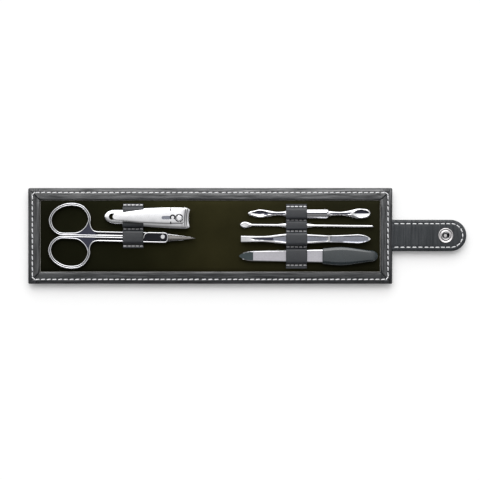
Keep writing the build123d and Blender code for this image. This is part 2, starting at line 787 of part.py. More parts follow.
# ================================================================ ear pick
def make_ear_pick():
    length = math.hypot(pick_end - pick_start, pick_end_y - pick_start_y)
    turn = math.degrees(math.atan2(pick_end_y - pick_start_y, pick_end - pick_start))
    half = pick_scoop_length / 2
    scoop = Pos(half, 0, 0) * scale(Sphere(1), by=(half, pick_scoop_half, 0.9))
    scoop -= Pos(half - 0.1, 0, 0.55) * scale(Sphere(1), by=(half * 0.74, pick_scoop_half * 0.7, 0.75))
    start = pick_scoop_length - 0.8
    wire = Pos((start + length) / 2, 0, 0) * Rot(0, 90, 0) * Cylinder(pick_wire, length - start)
    wire = fillet(wire.faces().sort_by(Axis.X)[-1].edges(), 0.4)
    f0, f1 = pick_flat_start - pick_start, pick_flat_end - pick_start
    web = block(f0, f1, -pick_flat_half, pick_flat_half, -pick_flat_thickness / 2, pick_flat_thickness / 2)
    web = fillet(web.edges().filter_by(Axis.Z), pick_flat_half * 0.9)
    tool = scoop + wire + web
    parts["ear_pick"] = (
        Pos(pick_start, pick_start_y, tool_bottom + 0.95) * Rot(0, 0, turn) * tool
    )


# ================================================================ tweezers
def tweezers_plan(x0, x1):
    stations = [
        (tweezers_start, tip_half), (waist_x, waist_half), (shoulder_x, shoulder_half),
        (belly_x, belly_half), (59.0, 2.8), (bend_x, bend_half),
    ]
    upper = Spline(*stations, tangents=((1, 0), (1, 0)))
    lower = Spline(*[(x, -h) for x, h in stations], tangents=((1, 0), (1, 0)))
    first, last = stations[0], stations[-1]
    arms = make_face([
        upper, Line(last, (last[0], -last[1])), lower, Line((first[0], -first[1]), first),
    ])
    clip_face = Pos((x0 + x1) / 2, 0) * Rectangle(x1 - x0, 20)
    return arms & clip_face


def tail_plan():
    end = (tweezers_end, 0)
    side = [(bend_x, bend_half), (80.0, bend_half + 0.15), (tail_widest_x, tail_half)]
    return make_face([
        Spline(*side, end, tangents=((1, 0), (1, -0.6))),
        Spline(*[(x, -h) for x, h in side], end, tangents=((1, 0), (1, 0.6))),
        Line(side[0], (bend_x, -bend_half)),
    ])


def make_tweezers():
    plan = plate(tweezers_plan(tweezers_start, bend_x - arm_flex_gap), -6, 6)
    top = arm_spread / 2
    x0, x1 = tweezers_start - 1, bend_x + 1
    tip = tweezers_start + 4.0
    rise = [
        (x0, top - 0.45), (tip, top), (arm_parallel_x, top), (bend_x, arm_plate), (x1, arm_plate),
        (x1, 0.0), (bend_x, 0.0), (arm_parallel_x, top - arm_plate), (tip, top - arm_plate),
        (x0, top - 0.45 - arm_plate),
    ]
    upper = plan & side_profile(rise, 8)
    lower = plan & side_profile([(x, -z) for x, z in rise], 8)
    groove = make_face(Polyline((25.5, 0.9), (38.3, 0.15), (38.3, -0.15), (25.5, -0.9), close=True))
    upper -= plate(groove, top - 0.3, top + 1)
    place = Pos(0, tweezers_y, tool_bottom + top)
    parts["tweezers_upper_arm"] = place * upper
    parts["tweezers_lower_arm"] = place * lower
    tail = plate(tail_plan(), -arm_plate, arm_plate)
    parts["tweezers_tail"] = place * chamfer(tail.faces().sort_by(Axis.Z)[-1].edges(), 0.2)


# ================================================================ nail file
def file_outline(inset, x0):
    tip, root = file_tip_half - inset, file_root_half - inset
    side = [(file_point_x, tip), (grit_end_x, root)]
    if x0 > file_point_x - 1:
        start = [(x0, tip), (x0, -tip)]
        points = side[1:] + start + [(grit_end_x, -root)]
        return make_face(Polyline(*points, close=True))
    return make_face([
        ThreePointArc((file_start, 0), ((file_start + file_point_x) / 2, tip * 0.68), side[0]),
        Line(side[0], side[1]),
        Line(side[1], (grit_end_x, -root)),
        Line((grit_end_x, -root), (file_point_x, -tip)),
        ThreePointArc((file_point_x, -tip), ((file_start + file_point_x) / 2, -tip * 0.68), (file_start, 0)),
    ])


def make_file():
    b = file_blade / 2
    blade = plate(file_outline(0, file_start), -b, b)
    tang_half = file_root_half * 0.45
    tang = block(grit_end_x, handle_start_x + tang_length, -tang_half, tang_half, -b, b)
    faces = plate(file_outline(0.45, file_point_x + 0.3), 0, grit)
    side = [
        (handle_start_x, handle_root_half), (handle_widest_x, handle_widest_half),
        (95.0, handle_end_half + 1.2),
    ]
    end = (file_end, 0)
    outline = make_face([
        Spline(*side, end, tangents=((1, 0.12), (0, -1))),
        Spline(*[(x, -h) for x, h in side], end, tangents=((1, -0.12), (0, 1))),
        Line(side[0], (side[0][0], -side[0][1])),
    ])
    t = handle_thickness / 2
    handle = plate(outline, -t, t)
    handle = chamfer(handle.faces().sort_by(Axis.Z)[-1].edges(), 0.9)
    handle = chamfer(handle.faces().sort_by(Axis.Z)[0].edges(), 0.9)
    place = Pos(0, file_y, tool_bottom + t)
    parts["file_blade"] = place * (blade + tang)
    parts["file_grit"] = place * joined([Pos(0, 0, b) * faces, Pos(0, 0, -b - grit) * faces])
    parts["file_handle"] = place * (handle - tang)


# ================================================================ build
def build():
    make_case()
    make_strap()
    make_loops()
    make_scissors()
    make_clipper()
    make_pusher()
    make_ear_pick()
    make_tweezers()
    make_file()
    os.makedirs("parts", exist_ok=True)
    for name, shape in parts.items():
        export_step(shape, f"parts/{name}.step")
    print(len(parts), "parts, closed height", round(closed_height, 2))


build()
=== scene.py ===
import math

import bmesh
import bpy
from bpy.props import FloatProperty, FloatVectorProperty, IntProperty, PointerProperty
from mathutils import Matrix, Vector, noise


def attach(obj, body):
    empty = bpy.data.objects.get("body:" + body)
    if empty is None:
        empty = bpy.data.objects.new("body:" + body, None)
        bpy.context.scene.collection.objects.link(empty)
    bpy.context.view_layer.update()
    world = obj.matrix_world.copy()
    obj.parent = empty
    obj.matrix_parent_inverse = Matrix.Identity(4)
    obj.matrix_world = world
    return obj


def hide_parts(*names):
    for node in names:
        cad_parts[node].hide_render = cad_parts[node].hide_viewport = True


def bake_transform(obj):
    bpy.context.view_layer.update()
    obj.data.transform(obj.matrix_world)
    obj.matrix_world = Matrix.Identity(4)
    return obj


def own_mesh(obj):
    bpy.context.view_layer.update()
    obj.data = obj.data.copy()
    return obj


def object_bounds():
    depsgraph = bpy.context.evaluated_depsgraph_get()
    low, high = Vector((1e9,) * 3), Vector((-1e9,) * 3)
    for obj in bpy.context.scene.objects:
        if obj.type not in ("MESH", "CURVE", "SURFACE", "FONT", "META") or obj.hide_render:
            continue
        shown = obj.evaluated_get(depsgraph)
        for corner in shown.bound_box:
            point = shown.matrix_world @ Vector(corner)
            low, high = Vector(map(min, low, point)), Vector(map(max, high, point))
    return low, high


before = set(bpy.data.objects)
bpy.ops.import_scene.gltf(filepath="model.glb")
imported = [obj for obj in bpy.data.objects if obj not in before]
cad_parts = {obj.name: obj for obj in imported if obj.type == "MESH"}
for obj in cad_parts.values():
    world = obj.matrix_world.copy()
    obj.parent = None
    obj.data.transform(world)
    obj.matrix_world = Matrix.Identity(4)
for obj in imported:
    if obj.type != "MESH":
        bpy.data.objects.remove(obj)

bl_info = {
    "name": "Manicure Case",
    "version": (1, 0, 0),
    "blender": (4, 5, 0),
    "location": "View3D > Sidebar > Manicure Case",
    "description": "Dresses a folding manicure case and its six tools with leatherette, velvet and metal",
    "category": "Object",
}

# Sizes and places below are in millimetres, in the frame's axes: X along the open case,
# Y across it to its far side, Z up from the outside of the cover. Meshes are made in
# metres at the end. In each form, x runs along it and u from -1 to 1 across its width.
MM = 0.001
CAD_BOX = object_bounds()

# ------------------------------------------------------------------ case
CASE_END, CASE_SIDE = 111.3, 29.3
CORNER_ROUND = 0.9
BORDER, WINDOW_GAP = 7.3, 0.4
LINING_TUCK, LINING_TOP, LINING_BASE = 3.1, 3.9, 2.72
FOLD_X, FOLD_Z, FOLD_REACH = 6.1, 4.0, 3.0
FOLD_ZONE, FOLD_STEP = 14.0, 0.7

# ------------------------------------------------------------------ strap
STRAP_Y, STRAP_HALF, STRAP_TOP = 0.3, 9.6, 2.8
STRAP_START, STRAP_JOIN, STRAP_END = 104.0, 121.0, 156.6
STRAP_FOLD, TAB_FOLD = 111.8, 130.35
SOCKET_X, STUD_X = 143.8, -98.35

# ------------------------------------------------------------------ tools
TOOL_BOTTOM = 4.2
SCISSORS_START, SCISSORS_Y, SCISSORS_TILT = -98.9, 0.42, -1.15
CLIPPER_TAIL, CLIPPER_Y, CLIPPER_TILT = -64.2, 11.9, -1.32
LEVER_TIP, LEVER_END = (-59.0, 11.6), (-16.0, 12.15)
PUSHER_Y, TWEEZERS_Y, FILE_Y = 13.7, -1.8, -12.2
PICK_START, PICK_END = (18.2, 6.8), (99.3, 5.9)


# ================================================================== settings
class CaseSizes(bpy.types.PropertyGroup):
    """Sizes of the finish that can change without moving a part."""

    stitch_inset: FloatProperty(
        name="Stitch Inset", description="Edge of the case to the seam",
        default=0.0028, unit="LENGTH")
    stitch_pitch: FloatProperty(
        name="Stitch Pitch", description="Distance from one stitch to the next",
        default=0.00345, unit="LENGTH")
    stitch_length: FloatProperty(
        name="Stitch Length", description="Length of one stitch on the surface",
        default=0.0026, unit="LENGTH")
    thread_width: FloatProperty(
        name="Thread Width", description="Width of the waxed thread",
        default=0.00066, unit="LENGTH")
    strap_stitch_inset: FloatProperty(
        name="Strap Stitch Inset", description="Edge of the strap to its seam",
        default=0.0024, unit="LENGTH")
    loop_leather: FloatProperty(
        name="Loop Leather", description="Thickness of the leather of the tool loops",
        default=0.0007, unit="LENGTH")
    mitre_depth: FloatProperty(
        name="Mitre Depth", description="How far the turned corners dip along their seam",
        default=0.0006, unit="LENGTH")
    grain_size: FloatProperty(
        name="Grain Size", description="Size of one pebble of the leatherette",
        default=0.0007, unit="LENGTH")
    bevel_segments: IntProperty(
        name="Bevel Segments", description="Steps in the rounded edges of small metal parts",
        default=3, min=1, max=8)


def colour_property(label, words, value):
    return FloatVectorProperty(
        name=label, description=words, subtype="COLOR", size=3, min=0.0, max=1.0, default=value)


class CaseColours(bpy.types.PropertyGroup):
    """Colours of the materials, as linear values."""

    leatherette: colour_property("Leatherette", "Cover of the case", (0.0155, 0.018, 0.0215))
    strap_leather: colour_property("Strap Leather", "Leatherette of the strap", (0.024, 0.029, 0.034))
    loop_leather: colour_property("Loop Leather", "Leather of the tool loops", (0.022, 0.025, 0.030))
    velvet: colour_property("Velvet", "Pile of the lining", (0.0335, 0.0305, 0.0122))
    thread: colour_property("Thread", "Waxed thread of the seams", (0.84, 0.84, 0.86))
    steel: colour_property("Steel", "Polished steel of the hand tools", (0.72, 0.72, 0.74))
    # Satin steel has a real satin finish, but its colour is painted dark as shade in channels, grooves and
    # hollows.
    satin: colour_property("Satin Steel", "Channels and webs of the hand tools", (0.050, 0.052, 0.074))
    # Dark steel paints shade on the sunk face at the screw, on groove and pocket floors, and in the snap
    # socket's hole.
    dark: colour_property("Dark Steel", "Sunk face of the scissors at the screw", (0.018, 0.018, 0.022))
    blade: colour_property("Blade Steel", "Ground faces of the scissor blades", (0.095, 0.09, 0.087))
    file: colour_property("File Steel", "Bare point of the nail file", (0.060, 0.076, 0.080))
    brushed: colour_property("Brushed Steel", "Long flats of the tweezers", (0.24, 0.25, 0.29))
    chrome: colour_property("Chrome", "Plating of the nail clipper", (0.90, 0.90, 0.92))
    snap: colour_property("Snap Metal", "Nickelled snap fastener", (0.62, 0.60, 0.61))
    grit: colour_property("Grit", "Abrasive faces of the nail file", (0.44, 0.43, 0.465))
    handle: colour_property("Handle", "Moulded handle of the nail file", (0.006, 0.0135, 0.0175))
    floor: colour_property("Floor", "Plain studio floor", (0.86, 0.86, 0.86))


# ================================================================== materials
WHITE = (1.0, 1.0, 1.0)
NOISE_LOW, NOISE_HIGH = 0.3, 0.7
DRAWN = 0.07
LENGTHWISE, CROSSWISE = (0.06, 1.0, 1.0), (1.0, 0.06, 1.0)


def fresh_material(name):
    """Empty material with its node tree, its shader and object coordinates in millimetres."""
    material = bpy.data.materials.new(name)
    material.use_nodes = True
    tree = material.node_tree
    tree.nodes.clear()
    output = tree.nodes.new("ShaderNodeOutputMaterial")
    shader = tree.nodes.new("ShaderNodeBsdfPrincipled")
    place = tree.nodes.new("ShaderNodeTexCoord")
    millimetres = tree.nodes.new("ShaderNodeVectorMath")
    millimetres.operation = "SCALE"
    millimetres.inputs["Scale"].default_value = 1.0 / MM
    tree.links.new(place.outputs["Object"], millimetres.inputs[0])
    tree.links.new(shader.outputs["BSDF"], output.inputs["Surface"])
    return material, tree, shader, millimetres.outputs["Vector"]


def noise_node(tree, place, size, detail=3.0, roughness=0.55):
    """Noise whose patches are about the given size in millimetres."""
    node = tree.nodes.new("ShaderNodeTexNoise")
    node.inputs["Scale"].default_value = 1.0 / size
    node.inputs["Detail"].default_value = detail
    node.inputs["Roughness"].default_value = roughness
    tree.links.new(place, node.inputs["Vector"])
    return node.outputs["Fac"]


def math_node(tree, operation, *values):
    """Result of an operation on outputs and plain numbers."""
    node = tree.nodes.new("ShaderNodeMath")
    node.operation = operation
    for socket, value in zip(node.inputs, values):
        if isinstance(value, float):
            socket.default_value = value
        else:
            tree.links.new(value, socket)
    return node.outputs["Value"]


def split_axes(tree, place):
    """X, Y and Z outputs of a place."""
    node = tree.nodes.new("ShaderNodeSeparateXYZ")
    tree.links.new(place, node.inputs["Vector"])
    return node.outputs


def grey(level):
    return (level,) * 3


def shade(colour, factor):
    """Colour made darker or lighter, kept below white."""
    return tuple(min(1.0, c * factor) for c in colour)


def tone_ramp(tree, factor, stops):
    """Colour that follows a factor through the given (place, colour) stops."""
    ramp = tree.nodes.new("ShaderNodeValToRGB")
    while len(ramp.color_ramp.elements) < len(stops):
        ramp.color_ramp.elements.new(0.5)
    for element, (where, colour) in zip(ramp.color_ramp.elements, stops):
        element.position = where
        element.color = (*colour, 1.0)
    tree.links.new(factor, ramp.inputs["Fac"])
    return ramp.outputs["Color"]


def shade_ramp(tree, factor, colour, *stops):
    """One colour, darker and lighter along a factor; each stop is (place, share of the colour)."""
    return tone_ramp(tree, factor, [(where, shade(colour, share)) for where, share in stops])


def value_range(tree, factor, low, high, start=NOISE_LOW, end=NOISE_HIGH):
    """Value from low to high while the factor runs from start to end."""
    node = tree.nodes.new("ShaderNodeMapRange")
    for socket, value in (("From Min", start), ("From Max", end), ("To Min", low), ("To Max", high)):
        node.inputs[socket].default_value = value
    tree.links.new(factor, node.inputs["Value"])
    return node.outputs["Result"]


def link_shader(tree, shader, tone, rough, bumps):
    """Links colour, roughness and bumps laid one over the other; each bump is (height output,
    strength, depth in metres)."""
    tree.links.new(tone, shader.inputs["Base Color"])
    tree.links.new(rough, shader.inputs["Roughness"])
    normal = None
    for height, strength, depth in bumps:
        node = tree.nodes.new("ShaderNodeBump")
        node.inputs["Strength"].default_value = strength
        node.inputs["Distance"].default_value = depth
        tree.links.new(height, node.inputs["Height"])
        if normal:
            tree.links.new(normal, node.inputs["Normal"])
        normal = node.outputs["Normal"]
    tree.links.new(normal, shader.inputs["Normal"])


def multiply(tree, first, second, share):
    """First colour darkened by the second, to the given share."""
    mix = tree.nodes.new("ShaderNodeMix")
    mix.data_type, mix.blend_type = "RGBA", "MULTIPLY"
    mix.inputs["Factor"].default_value = share
    tree.links.new(first, mix.inputs["A"])
    tree.links.new(second, mix.inputs["B"])
    return mix.outputs["Result"]


def drawn_noise(tree, place, size, along):
    """Noise drawn out along an axis, as fine lines."""
    stretch = tree.nodes.new("ShaderNodeMapping")
    stretch.inputs["Scale"].default_value = along
    tree.links.new(place, stretch.inputs["Vector"])
    return noise_node(tree, stretch.outputs["Vector"], size)


def pull_lines(tree, place):
    """Fine lines in stretched leather, running along whichever edge of the case is near."""
    line_size = 1.1
    distance = math_node(tree, "ABSOLUTE", split_axes(tree, place)["X"])
    at_end = math_node(tree, "GREATER_THAN", distance, CASE_END - BORDER)
    mix = tree.nodes.new("ShaderNodeMix")
    tree.links.new(at_end, mix.inputs["Factor"])
    tree.links.new(drawn_noise(tree, place, line_size, (DRAWN, 1.0, 1.0)), mix.inputs["A"])
    tree.links.new(drawn_noise(tree, place, line_size, (1.0, DRAWN, 1.0)), mix.inputs["B"])
    return mix.outputs["Result"]


def grained_leather(name, colour, grain, gloss, shine, pulled=0.0):
    """Pebbled leatherette with darker creases, uneven gloss and, where it is pulled, fine lines."""
    material, tree, shader, place = fresh_material(name)
    pebble = tree.nodes.new("ShaderNodeTexVoronoi")
    pebble.feature = "SMOOTH_F1"
    pebble.inputs["Scale"].default_value = 1.0 / grain
    pebble.inputs["Smoothness"].default_value = 0.6
    bend = tree.nodes.new("ShaderNodeVectorMath")
    bend.operation = "MULTIPLY_ADD"
    wander = tree.nodes.new("ShaderNodeTexNoise")
    wander.inputs["Scale"].default_value = 0.6 / grain
    tree.links.new(place, wander.inputs["Vector"])
    tree.links.new(wander.outputs["Color"], bend.inputs[0])
    bend.inputs[1].default_value = grey(grain * 1.2)
    tree.links.new(place, bend.inputs[2])
    tree.links.new(bend.outputs["Vector"], pebble.inputs["Vector"])
    fine = noise_node(tree, place, grain * 0.35)
    patches = noise_node(tree, place, 28.0, 4.0)
    tone = shade_ramp(tree, patches, colour, (0.30, 0.84), (0.52, 1.0), (0.72, 1.16))
    crease = tone_ramp(tree, pebble.outputs["Distance"], [(0.10, WHITE), (0.62, (0.74, 0.74, 0.76))])
    tone = multiply(tree, tone, crease, 0.85)
    bumps = [(pebble.outputs["Distance"], 0.45, -0.00010), (fine, 0.25, 0.00004)]
    rough = value_range(tree, patches, gloss - 0.06, gloss + 0.08)
    if pulled:
        lines = pull_lines(tree, place)
        streaks = tone_ramp(tree, lines, [(0.34, grey(1 - pulled)), (0.62, WHITE)])
        tone = multiply(tree, tone, streaks, 1.0)
        bumps.append((lines, 0.6, 0.00014))
        rough = value_range(tree, lines, gloss + 0.14, gloss - 0.08)
        glints = value_range(tree, lines, shine * (1 - 1.2 * pulled), shine * (1 + 0.9 * pulled))
        tree.links.new(glints, shader.inputs["Specular IOR Level"])
    else:
        shader.inputs["Specular IOR Level"].default_value = shine
    link_shader(tree, shader, tone, rough, bumps)
    return material


def velvet_pile(name, colour):
    """Short dense pile: fibre speckle, brushed patches, and painted shade that darkens it towards both ends
    and towards the near side.
    """
    material, tree, shader, place = fresh_material(name)
    axes = split_axes(tree, place)
    # Painted shade: darker towards both ends of the case, most at the left end.
    painted_shade_along = tone_ramp(tree, value_range(tree, axes["X"], 0.0, 1.0, -CASE_END, CASE_END), [
        (0.04, (0.30, 0.34, 0.44)), (0.24, (0.42, 0.47, 0.54)), (0.38, (0.74, 0.78, 0.80)),
        (0.50, WHITE), (0.64, (0.86, 0.88, 0.92)), (0.86, (0.56, 0.60, 0.74))])
    # Painted shade: darker towards the near side of the case.
    lean = tone_ramp(tree, value_range(tree, axes["Y"], 0.0, 1.0, -CASE_SIDE, CASE_SIDE), [
        (0.1, grey(0.66)), (0.85, WHITE)])
    brushed = noise_node(tree, place, 30.0, 4.0, 0.6)
    fibre = noise_node(tree, place, 0.35, 2.0)
    tufts = noise_node(tree, place, 1.4)
    tone = shade_ramp(tree, brushed, colour, (0.28, 0.80), (0.50, 1.0), (0.74, 1.22))
    speckle = tone_ramp(tree, fibre, [(0.30, grey(0.60)), (0.70, WHITE)])
    for layer, share in ((speckle, 0.8), (painted_shade_along, 1.0), (lean, 1.0)):
        tone = multiply(tree, tone, layer, share)
    shader.inputs["Specular IOR Level"].default_value = 0.0
    rough = value_range(tree, tufts, 0.82, 0.98)
    link_shader(tree, shader, tone, rough, [(tufts, 0.25, 0.00010), (fibre, 0.35, 0.00006)])
    return material


def waxed_thread(name, colour):
    """Twisted strands under wax, with a little fluff."""
    material, tree, shader, place = fresh_material(name)
    strand = tree.nodes.new("ShaderNodeTexWave")
    strand.wave_type, strand.bands_direction = "BANDS", "DIAGONAL"
    strand.inputs["Scale"].default_value = 1.1
    strand.inputs["Distortion"].default_value = 1.6
    tree.links.new(place, strand.inputs["Vector"])
    fluff = noise_node(tree, place, 0.2)
    tone = shade_ramp(tree, strand.outputs["Fac"], colour, (0.05, 0.78), (0.55, 1.0), (1.0, 1.08))
    rough = value_range(tree, fluff, 0.42, 0.62)
    link_shader(tree, shader, tone, rough, [(strand.outputs["Fac"], 0.3, 0.00004), (fluff, 0.2, 0.00003)])
    return material


def worked_metal(name, colour, roughness, brush_size, brush_depth, along=WHITE):
    """Metal with fine working marks, drawn out along an axis, and a faintly uneven polish."""
    material, tree, shader, place = fresh_material(name)
    marks = drawn_noise(tree, place, brush_size, along)
    bloom = noise_node(tree, place, 6.0)
    tone = shade_ramp(tree, bloom, colour, (0.30, 0.90), (0.65, 1.0))
    shader.inputs["Metallic"].default_value = 1.0
    rough = value_range(tree, marks, roughness * 0.75, roughness * 1.3)
    link_shader(tree, shader, tone, rough, [(marks, 0.25, brush_depth)])
    return material


def abrasive_grit(name, colour):
    """Fine crystals glued to the blade, some lighter than others."""
    material, tree, shader, place = fresh_material(name)
    crystal = tree.nodes.new("ShaderNodeTexVoronoi")
    crystal.inputs["Scale"].default_value = 1.0 / 0.28
    tree.links.new(place, crystal.inputs["Vector"])
    speck = noise_node(tree, place, 0.5)
    tone = shade_ramp(tree, speck, colour, (0.30, 0.84), (0.52, 1.0), (0.72, 1.10))
    rough = value_range(tree, speck, 0.55, 0.8)
    link_shader(tree, shader, tone, rough, [(crystal.outputs["Distance"], 0.3, 0.00005)])
    return material


def moulded_plastic(name, colour):
    """Glossy plastic with faint flow marks."""
    material, tree, shader, place = fresh_material(name)
    texture = noise_node(tree, place, 0.45)
    flow = noise_node(tree, place, 12.0)
    tone = shade_ramp(tree, flow, colour, (0.30, 0.88), (0.70, 1.12))
    shader.inputs["Specular IOR Level"].default_value = 0.95
    rough = value_range(tree, flow, 0.22, 0.30)
    link_shader(tree, shader, tone, rough, [(texture, 0.12, 0.00002)])
    return material


def pressed_fibre(name, colour):
    """Board and foam inside the panels."""
    material, tree, shader, place = fresh_material(name)
    fibre = noise_node(tree, place, 0.6, 4.0)
    tone = shade_ramp(tree, fibre, colour, (0.30, 0.75), (0.70, 1.2))
    rough = value_range(tree, fibre, 0.8, 0.95)
    link_shader(tree, shader, tone, rough, [(fibre, 0.4, 0.0001)])
    return material


def case_materials():
    """All finishes by name, made once and then found again."""
    own, sizes = bpy.context.scene.case_colours, bpy.context.scene.case_sizes
    grain = sizes.grain_size / MM
    makers = {
        "leatherette": (grained_leather, own.leatherette, grain, 0.46, 0.70),
        "turned_leather": (grained_leather, own.leatherette, grain, 0.38, 1.0, 0.50),
        "strap_leather": (grained_leather, own.strap_leather, grain, 0.50, 0.50, 0.20),
        "loop_leather": (grained_leather, own.loop_leather, grain * 0.8, 0.46, 0.60),
        "velvet": (velvet_pile, own.velvet),
        "thread": (waxed_thread, own.thread),
        "polished_steel": (worked_metal, own.steel, 0.16, 0.4, 0.000003, LENGTHWISE),
        "satin_steel": (worked_metal, own.satin, 0.36, 0.3, 0.00001, LENGTHWISE),
        "dark_steel": (worked_metal, own.dark, 0.34, 0.3, 0.00001, LENGTHWISE),
        "blade_steel": (worked_metal, own.blade, 0.30, 0.3, 0.00001, CROSSWISE),
        "brushed_steel": (worked_metal, own.brushed, 0.30, 0.3, 0.000008, LENGTHWISE),
        "clipper_chrome": (worked_metal, own.chrome, 0.09, 2.0, 0.000002),
        "snap_metal": (worked_metal, own.snap, 0.24, 0.5, 0.000004),
        "spring_steel": (worked_metal, shade(own.steel, 0.8), 0.20, 0.4, 0.000003),
        "file_steel": (worked_metal, own.file, 0.34, 0.3, 0.00001, CROSSWISE),
        "file_abrasive": (abrasive_grit, own.grit),
        "handle_plastic": (moulded_plastic, own.handle),
        "stiffener": (pressed_fibre, (0.20, 0.17, 0.13)),
        "foam": (pressed_fibre, (0.30, 0.29, 0.27)),
    }
    finishes = {}
    for name, (maker, *values) in makers.items():
        label = name + "_finish"
        finishes[name] = bpy.data.materials.get(label) or maker(label, *values)
    return finishes


# ================================================================== mesh making
def link_object(name, data):
    piece = bpy.data.objects.new(name, data)
    bpy.context.scene.collection.objects.link(piece)
    return piece


def mesh_in_metres(name, bm):
    """Mesh in metres from one drawn in millimetres, with its faces turned outwards."""
    bmesh.ops.recalc_face_normals(bm, faces=bm.faces)
    bmesh.ops.scale(bm, verts=bm.verts, vec=(MM, MM, MM))
    mesh = bpy.data.meshes.new(name)
    bm.to_mesh(mesh)
    bm.free()
    return mesh


def smooth_over(mesh, sharp):
    """Smooth shading, broken at edges sharper than the given angle in degrees."""
    mesh.shade_smooth()
    mesh.set_sharp_from_angle(angle=math.radians(sharp))


def finish_piece(name, bm, materials, sharp=38.0, weld=0.0005):
    """Finished object from a mesh drawn in millimetres."""
    if weld:
        bmesh.ops.remove_doubles(bm, verts=bm.verts, dist=weld)
        bmesh.ops.dissolve_degenerate(bm, edges=bm.edges, dist=weld)
    loose = [v for v in bm.verts if not v.link_faces]
    bmesh.ops.delete(bm, geom=loose, context="VERTS")
    mesh = mesh_in_metres(name, bm)
    smooth_over(mesh, sharp)
    finishes = case_materials()
    for finish in materials:
        mesh.materials.append(finishes[finish])
    piece = link_object(name, mesh)
    {"strap_leather": "leatherette"}.get(materials[0], materials[0])
    return piece


def skin_rows(bm, rows, closed=False):
    """Quads between neighbouring rows of points; every row has the same number of points."""
    made = [[bm.verts.new(p) for p in row] for row in rows]
    for a, b in zip(made, made[1:]):
        for i in range(len(a) if closed else len(a) - 1):
            j = (i + 1) % len(a)
            bm.faces.new((a[i], a[j], b[j], b[i]))
    return made


def closed_skin(bm, rows):
    """Tube through closed rows of points, with a face over each end."""
    made = skin_rows(bm, rows, closed=True)
    for row in (made[0], made[-1]):
        bm.faces.new(row)
    return made


def mirror_lengthwise(bm):
    """Turns a right half of the case into a left half."""
    for v in bm.verts:
        v.co.x = -v.co.x


def ease(t):
    """Smooth step from 0 to 1."""
    t = min(1.0, max(0.0, t))
    return t * t * (3.0 - 2.0 * t)


def between(pairs, x):
    """Smooth value at x through (x, value) pairs, never past its neighbours."""
    if x <= pairs[0][0]:
        return pairs[0][1]
    if x >= pairs[-1][0]:
        return pairs[-1][1]
    rises = [(b[1] - a[1]) / (b[0] - a[0]) for a, b in zip(pairs, pairs[1:])]
    i = next(k for k, pair in enumerate(pairs[1:]) if x <= pair[0])

    def slope(k):
        if k in (0, len(pairs) - 1):
            return rises[0] if k == 0 else rises[-1]
        a, b = rises[k - 1], rises[k]
        return 0.0 if a * b <= 0 else 2 * a * b / (a + b)

    (x0, v0), (x1, v1) = pairs[i], pairs[i + 1]
    h = x1 - x0
    t = (x - x0) / h
    return ((1 + 2 * t) * (1 - t) ** 2 * v0 + t * (1 - t) ** 2 * h * slope(i)
            + t * t * (3 - 2 * t) * v1 + t * t * (t - 1) * h * slope(i + 1))


def along_line(pairs, x):
    """Straight-line value at x through (x, value) pairs."""
    if x <= pairs[0][0]:
        return pairs[0][1]
    for (x0, v0), (x1, v1) in zip(pairs, pairs[1:]):
        if x <= x1:
            return v0 + (v1 - v0) * (x - x0) / (x1 - x0)
    return pairs[-1][1]


def curve_through(points, steps, closed=False):
    """Points of a Catmull-Rom curve through the given plan points."""
    count = len(points)
    spans = count if closed else count - 1
    made = []
    for i in range(spans):
        def pick(k):
            k = (i + k) % count if closed else min(max(i + k, 0), count - 1)
            return Vector(points[k])
        p0, p1, p2, p3 = pick(-1), pick(0), pick(1), pick(2)
        for s in range(steps):
            t = s / steps
            made.append(0.5 * (2 * p1 + (p2 - p0) * t + (2 * p0 - 5 * p1 + 4 * p2 - p3) * t * t
                               + (3 * p1 - p0 - 3 * p2 + p3) * t ** 3))
    if not closed:
        made.append(Vector(points[-1]))
    return made


def spread(low, high, step):
    """Even places from low to high, about a step apart, with both ends."""
    count = max(1, round((high - low) / step))
    return [low + (high - low) * i / count for i in range(count + 1)]


def turned(point, place, angle):
    """Plan point from a tool's own axes to the case's."""
    a = math.radians(angle)
    x, y = point
    return (place[0] + x * math.cos(a) - y * math.sin(a), place[1] + x * math.sin(a) + y * math.cos(a))


def set_down(bm, place, angle):
    """Turns and moves a whole mesh from a tool's own axes to the case's."""
    for v in bm.verts:
        v.co.x, v.co.y = turned((v.co.x, v.co.y), place, angle)


def turned_all(points, place, angle):
    return [turned(point, place, angle) for point in points]


def inset_point(station, distance):
    """Point at a distance inside the outline. A station is (point, way in, reach, way in past it)."""
    (x, y), (ix, iy), reach, (jx, jy) = station
    near, far = min(distance, reach), max(distance - reach, 0.0)
    return x + near * ix + far * jx, y + near * iy + far * jy


def edge_sweep(bm, stations, profile, lift):
    """Carries an edge profile of (inset, height) points along the stations of an outline;
    lift(index, distance, x, y, z) raises single points."""
    rows = []
    for index, station in enumerate(stations):
        row = []
        for distance, z in profile:
            x, y = inset_point(station, distance)
            row.append((x, y, z + lift(index, distance, x, y, z)))
        rows.append(row)
    skin_rows(bm, rows)


def ripple(x, y, size, depth):
    """Slow unevenness of a soft surface."""
    return depth * noise.noise(Vector((x / size, y / size, 3.7)))


